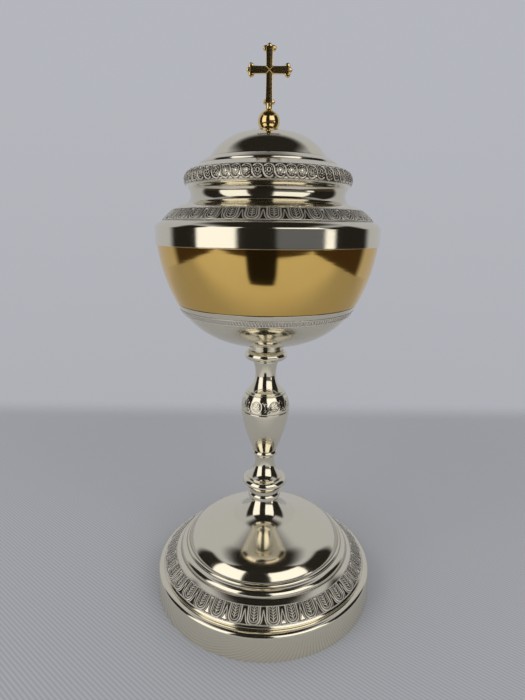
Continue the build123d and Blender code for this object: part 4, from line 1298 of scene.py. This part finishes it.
class MakeStem(bpy.types.Operator):
    """Make the stem's collars, spools and engraved knop"""

    bl_idname = "ciborium.make_stem"
    bl_label = "Stem"

    def execute(self, context):
        lines = {
            "lower_collar": lower_collar_line(),
            "lower_spool": spool_line(LOWER_COLLAR_TOP, *LOWER_SPOOL),
            "upper_spool": spool_line(KNOP_TOP, *UPPER_SPOOL),
            "upper_collar": upper_collar_line(),
        }
        for node, line in lines.items():
            outline = Outline(faced(line), ease=0.2, longest=0.5)
            put_turned(f"{node}_polished", outline, node, polished_silver, SMALL_SEGMENTS)
        self.knop(context.scene.ciborium_ornament)
        return {"FINISHED"}

    def knop(self, ornament):
        """The knop's turned surface, cut along its shoulder by rosettes above one plain line."""
        outline = Outline(faced(knop_line()), ease=0.2, longest=0.6, closer=(*ENGRAVED_LEVELS, ENGRAVED_STEP))
        segments = ornament.rosettes * ROSETTE_CELLS
        radius, level = outline.points.T
        along = np.append(0, np.cumsum(np.hypot(*np.diff(outline.points, axis=0).T)))
        shoulder = (radius > ENGRAVED_FROM[0]) & (level > ENGRAVED_FROM[1])
        middle = along[np.argmin(np.where(shoulder, np.abs(level - ROSETTE_LEVEL), np.inf))]
        y = (along - middle)[:, None]
        pitch = 2 * pi * KNOP_BELLY[0] / ornament.rosettes
        x = (((np.arange(segments) % ROSETTE_CELLS) / ROSETTE_CELLS - 0.5) * pitch)[None]
        cut = rosette_relief(x, y, pitch) * (1 - ramp(np.abs(y), *ROSETTE_REACH))
        cut = np.maximum(cut, ridge(y + BORDER_DROP, BORDER_LINE)) * shoulder[:, None]
        depth = ornament.engraving / MILLIMETRE
        surface = skin(carried_round(outline, segments, -depth * cut), True)
        hollow = np.maximum(outline.hollow[:, None], ENGRAVED_TARNISH * cut)
        put("knop_engraved", surface, "knop", polished_silver, hollow=hollow, inside=np.zeros_like(hollow))


class MakeBowl(bpy.types.Operator):
    """Make the calyx and its beaded wire"""

    bl_idname = "ciborium.make_bowl"
    bl_label = "Bowl"

    def execute(self, context):
        ornament = context.scene.ciborium_ornament
        outline = Outline(sheet(calyx_line(), CALYX_SHEET), ease=0.14)
        put_turned("calyx_polished", outline, "calyx", polished_silver)
        half = degrees(BEAD_WIDTH / 2 / BOWL_ROUND)
        angles = (-BEAD_ANGLE - half, -BEAD_ANGLE + half)
        strip(
            "bead_wire_rolled", "calyx_bead_wire", BOWL_CENTRE, BOWL_ROUND, angles,
            ornament.beads, grid=(12, 26), relief=bead_relief, depth=ornament.bead_depth,
        )
        return {"FINISHED"}


class MakeCup(bpy.types.Operator):
    """Make the gilt cup"""

    bl_idname = "ciborium.make_cup"
    bl_label = "Gilt cup"

    def execute(self, context):
        outline = Outline(cup_line(), closed=False, ease=0.2)
        put_turned("gilt_cup_polished", outline, "gilt_cup", gilding)
        return {"FINISHED"}


class MakeLid(bpy.types.Operator):
    """Make the lid's rim band, bezel and spun shell"""

    bl_idname = "ciborium.make_lid"
    bl_label = "Lid"

    def execute(self, context):
        band = Outline(faced(rim_band_line()), ease=0.2)
        put_turned("rim_band_brushed", band, "lid_rim_band", brushed_silver, WIDE_SEGMENTS)
        bezel = Outline(faced(bezel_line()), ease=0.2)
        put_turned("bezel_polished", bezel, "lid_bezel", polished_silver)
        shell = Outline(sheet(lid_shell_line(), LID_SHEET), ease=0.22)
        put_turned("lid_shell_polished", shell, "lid_shell", polished_silver)
        return {"FINISHED"}


class MakeLidBands(bpy.types.Operator):
    """Make the lid's leaf band and scroll band"""

    bl_idname = "ciborium.make_lid_bands"
    bl_label = "Lid bands"

    def execute(self, context):
        ornament = context.scene.ciborium_ornament
        strip(
            "lid_leaf_band_chased", "lid_leaf_band", *LID_SLOPE[:2], strip_angles(LID_SLOPE, LID_BAND_INSETS),
            ornament.lid_leaves, grid=(52, 42), relief=leaf_relief, depth=ornament.leaf_depth,
        )
        strip(
            "lid_scroll_band_chased", "lid_scroll_band", TORUS_CENTRE, LID_TORUS, SCROLL_ANGLES,
            ornament.scrolls, grid=(32, 48), relief=scroll_relief, depth=ornament.scroll_depth,
        )
        return {"FINISHED"}


class MakeFinial(bpy.types.Operator):
    """Make the gilt ball and the cross"""

    bl_idname = "ciborium.make_finial"
    bl_label = "Finial"

    def execute(self, context):
        ball = Outline(faced(ball_line()), ease=0.12, longest=0.3)
        put_turned("finial_ball_polished", ball, "finial_ball", cast_gilding, SMALL_SEGMENTS)
        put("cross_cast", cross_surface(), "cross", cast_gilding)
        return {"FINISHED"}


class MakeFastenings(bpy.types.Operator):
    """Make the tie rod, washers and nuts, and finish the boss under the cup"""

    bl_idname = "ciborium.make_fastenings"
    bl_label = "Fastenings"

    def execute(self, context):
        thread = (ROD_BOTTOM, WASHER_BOTTOM + WASHER_THICKNESS)
        line = path((
            (POLE, ROD_BOTTOM), (ROD_RADIUS - ROD_EASE, ROD_BOTTOM), (ROD_RADIUS, ROD_BOTTOM + ROD_EASE),
            (ROD_RADIUS, ROD_TOP), (POLE, ROD_TOP),
        ))
        rod = Outline(faced(line), closed=False, ease=0.1, closer=(*thread, THREAD_STEP))
        rows = threaded(rod, thread, *ROD_THREAD)
        put("tie_rod_threaded", skin(rows, False), "tie_rod", turned_brass)
        washers = {
            "foot_washer": washer_line(WASHER_BOTTOM, ROD_HOLE, WASHER_RADIUS, WASHER_THICKNESS),
            "finial_washer": washer_line(FINIAL_WASHER_BOTTOM, SHANK_HOLE, *FINIAL_WASHER),
        }
        for node, section in washers.items():
            outline = Outline(faced(section), ease=0.15)
            put_turned(f"{node}_turned", outline, node, turned_brass, SMALL_SEGMENTS)
        nuts = {
            "foot_nut": hexagon_nut(FOOT_NUT_BOTTOM, *FOOT_NUT, ROD_RADIUS + THREAD_GAP),
            "finial_nut": hexagon_nut(FINIAL_NUT_BOTTOM, *FINIAL_NUT, SHANK_RADIUS + THREAD_GAP),
        }
        for node, surface in nuts.items():
            put(f"{node}_milled", surface, node, turned_brass)
        boss = frame["nodes"]["cup_boss"]
        boss.data.materials.clear()
        boss.data.materials.append(material(turned_brass))
        return {"FINISHED"}


class MakeStage(bpy.types.Operator):
    """Make the table, the light and the camera"""

    bl_idname = "ciborium.make_stage"
    bl_label = "Stage"

    def execute(self, context):
        settings = context.scene.ciborium_stage
        context.scene.view_settings.view_transform = "Standard"
        self.floor(settings)
        self.shades(settings)
        self.world(context.scene, settings)
        self.lamps(settings)
        self.camera(context.scene)
        return {"FINISHED"}

    def staged(self, name, corners, made):
        """A four-cornered sheet in a material, linked into the scene."""
        mesh = bpy.data.meshes.new(name)
        mesh.from_pydata(corners, [], [(0, 1, 2, 3)])
        mesh.materials.append(made)
        piece = linked(name, mesh)
        return piece

    def floor(self, settings):
        """A level table that fades into the wall behind and far out; in the metal it ends at its edges."""
        made, shader = empty_material("table_cloth")
        x, y, _ = shader.parts(shader.place())
        slant = x * TWILL_LEAN[0] + y * TWILL_LEAN[1]
        twill = (slant * (2 * pi / TWILL_PITCH)).math("SINE") * 0.5 + 0.5
        cloth = shader.mix(twill, *(rgba([c * tone for c in settings.table]) for tone in TWILL_TONES))
        glossy = shader.node("ShaderNodeLightPath", output="Is Glossy Ray")
        # Painted light: in the metal, the table's front is painted brighter, as if more light fell there
        cloth = shader.mix(glossy * (1 - shader.step(y, *TABLE_LIT_FRONT)), cloth, rgba(settings.table_lit_front))
        values = {"Base Color": cloth, "Roughness": 0.9, "Specular IOR Level": 0.1}
        surface = shader.node("ShaderNodeBsdfPrincipled", sockets=values)
        sides = shader.step(x, *TABLE_RIGHT).math("MAXIMUM", 1 - shader.step(x, *TABLE_LEFT))
        edge = sides.math("MAXIMUM", 1 - shader.step(y, *TABLE_NEAR))
        fades = (place + glossy * shift for place, shift in zip(TABLE_BEHIND, TABLE_BEHIND_SHIFTS))
        behind = shader.step(y, *fades)
        far = shader.step(shader.from_axis(x, y), *TABLE_FAR)
        shader.fading((glossy * edge).math("MAXIMUM", behind).math("MAXIMUM", far), surface)
        reach = TABLE_REACH * MILLIMETRE
        self.staged("table", [(a * reach, b * reach, 0.0) for a, b in CORNERS], made)

    def shades(self, settings):
        """Two dim soft-edged panels that only the metal sees: one overhead, and an upright one in front. A
        panel fades by a distance from its middle: the fourth root of the two shares' fourth powers added up,
        each share counted in half lengths."""
        for name, (middle, spans, soft) in SHADES.items():
            made, shader = empty_material(name)
            place = shader.parts(shader.place())
            first, second = (
                ((place[axis] - middle[axis] / MILLIMETRE) / (half / MILLIMETRE)).math("ABSOLUTE")
                for axis, half in spans
            )
            away = (first**4 + second**4) ** 0.25
            dim = shader.node("ShaderNodeEmission", sockets={"Color": rgba(settings.shade), "Strength": 1.0})
            shader.fading(shader.step(away, *soft), dim)
            across, up = (SHADE_MARGIN * half * np.eye(3)[axis] for axis, half in spans)
            corners = [tuple(middle + a * across + b * up) for a, b in CORNERS]
            panel = self.staged(name, corners, made)
            panel.visible_camera = False
            panel.visible_diffuse = False
            panel.visible_shadow = False
            panel.visible_transmission = False

    def world(self, scene, settings):
        """A pale room. In the metal its front is dim, with a bright window each side and slate below one."""
        world = bpy.data.worlds.new("studio")
        world.use_nodes = True
        scene.world = world
        shader = Shader(world.node_tree)
        x, y, z = shader.parts(shader.node("ShaderNodeTexCoord", output="Generated"))
        turn = x.math("ARCTAN2", 0 - y) * degrees(1)
        rise = z.math("ARCSINE") * degrees(1)
        lintel = LINTEL - shader.step(turn.math("ABSOLUTE"), *LINTEL_TURNS) * LINTEL_DROP
        front = shader.between(turn, *ROOM_FRONT) * (1 - shader.step(rise - lintel, *LINTEL_SOFT))
        left, right, slate, pane = (
            shader.between(turn, *across) * shader.between(rise, *up)
            for across, up in (LEFT_WINDOW, RIGHT_WINDOW, SLATE, PANE)
        )
        dim = shader.mix(shader.step(rise, *FLOOR_LINE), rgba(settings.floor), rgba(settings.shade))
        room = shader.mix(front, rgba(settings.wall), dim)
        room = shader.mix(slate, room, rgba(settings.slate))
        bright = left.math("MAXIMUM", right).math("MAXIMUM", pane)
        room = shader.mix(bright, room, rgba(settings.daylight))
        camera = shader.node("ShaderNodeLightPath", output="Is Camera Ray")
        rays = camera.link.node.outputs
        glossy = Socket(shader, rays["Is Glossy Ray"])
        through = Socket(shader, rays["Is Transmission Ray"])
        # Painted shade: the plain wall is darker towards its foot
        foot = [c * WALL_FOOT_SHADE for c in settings.wall]
        plain = shader.mix(shader.step(rise, *WALL_RISE), rgba(foot), rgba(settings.wall))
        seen = shader.mix(glossy, plain, room)
        backdrop = shader.node("ShaderNodeBackground", sockets={"Color": seen, "Strength": 1.0})
        white = {"Color": (1, 1, 1, 1), "Strength": settings.fill}
        light = shader.node("ShaderNodeBackground", sockets=white)
        picked = (camera + glossy + through).math("MINIMUM", 1.0)
        surface = shader.node("ShaderNodeMixShader", sockets=(picked, light, backdrop))
        shader.node("ShaderNodeOutputWorld", sockets={"Surface": surface})

    def lamps(self, settings):
        """Two wide soft lamps where the windows are; the metal sees the windows themselves."""
        for name, (turn, rise) in LAMPS.items():
            lamp = bpy.data.lights.new(name, "AREA")
            lamp.shape = "SQUARE"
            lamp.size = LAMP_SIZE
            lamp.energy = settings.window
            holder = linked(name, lamp)
            flat = cos(radians(rise))
            away = np.array((sin(radians(turn)) * flat, -cos(radians(turn)) * flat, sin(radians(rise))))
            holder.location = away * LAMP_DISTANCE + np.array(LAMP_AIM)
            holder.rotation_euler = (radians(90 - rise), 0, radians(turn))
            holder.visible_camera = False
            holder.visible_glossy = False

    def camera(self, scene):
        """A camera level with the rim band's top, looking down. Its focal length is given in pixels of the
        picture's longer side."""
        camera = bpy.data.cameras.new("camera")
        camera.sensor_width = SENSOR_WIDTH
        camera.lens = FOCAL_PIXELS * SENSOR_WIDTH / PICTURE_PIXELS
        holder = linked("camera", camera)
        holder.location = CAMERA_PLACE
        holder.rotation_euler = (radians(90 - CAMERA_DIP), 0, 0)
        holder.rotation_euler.rotate_axis("Z", radians(CAMERA_ROLL))
        scene.camera = holder


class CiboriumPanel(bpy.types.Panel):
    """Lists the steps that make the ciborium, and its settings"""

    bl_idname = "VIEW3D_PT_ciborium"
    bl_label = "Covered Ciborium"
    bl_space_type = "VIEW_3D"
    bl_region_type = "UI"
    bl_category = "Ciborium"

    def draw(self, context):
        for operator in STEPS:
            self.layout.operator(operator.bl_idname)
        for group in SETTINGS:
            box = self.layout.box()
            settings = getattr(context.scene, group)
            for name in settings.__annotations__:
                box.prop(settings, name)


STEPS = (
    MakeFoot, MakeFootBand, MakeStem, MakeBowl, MakeCup,
    MakeLid, MakeLidBands, MakeFinial, MakeFastenings, MakeStage,
)
SETTINGS = {
    "ciborium_finishes": CiboriumFinishes,
    "ciborium_ornament": CiboriumOrnament,
    "ciborium_stage": CiboriumStage,
}


def register():
    """Registers the settings, the steps and the panel."""
    for name, group in SETTINGS.items():
        bpy.utils.register_class(group)
        setattr(bpy.types.Scene, name, PointerProperty(type=group))
    for made in (*STEPS, CiboriumPanel):
        bpy.utils.register_class(made)


def unregister():
    """Takes them out again."""
    for made in (CiboriumPanel, *reversed(STEPS)):
        bpy.utils.unregister_class(made)
    for name, group in SETTINGS.items():
        delattr(bpy.types.Scene, name)
        bpy.utils.unregister_class(group)


def main():
    """Makes every piece and the stage."""
    register()
    bpy.ops.ciborium.make_stage()
    bpy.ops.ciborium.make_foot()
    bpy.ops.ciborium.make_foot_band()
    bpy.ops.ciborium.make_stem()
    bpy.ops.ciborium.make_bowl()
    bpy.ops.ciborium.make_cup()
    bpy.ops.ciborium.make_lid()
    bpy.ops.ciborium.make_lid_bands()
    bpy.ops.ciborium.make_finial()
    bpy.ops.ciborium.make_fastenings()


if __name__ == "__main__":
    main()
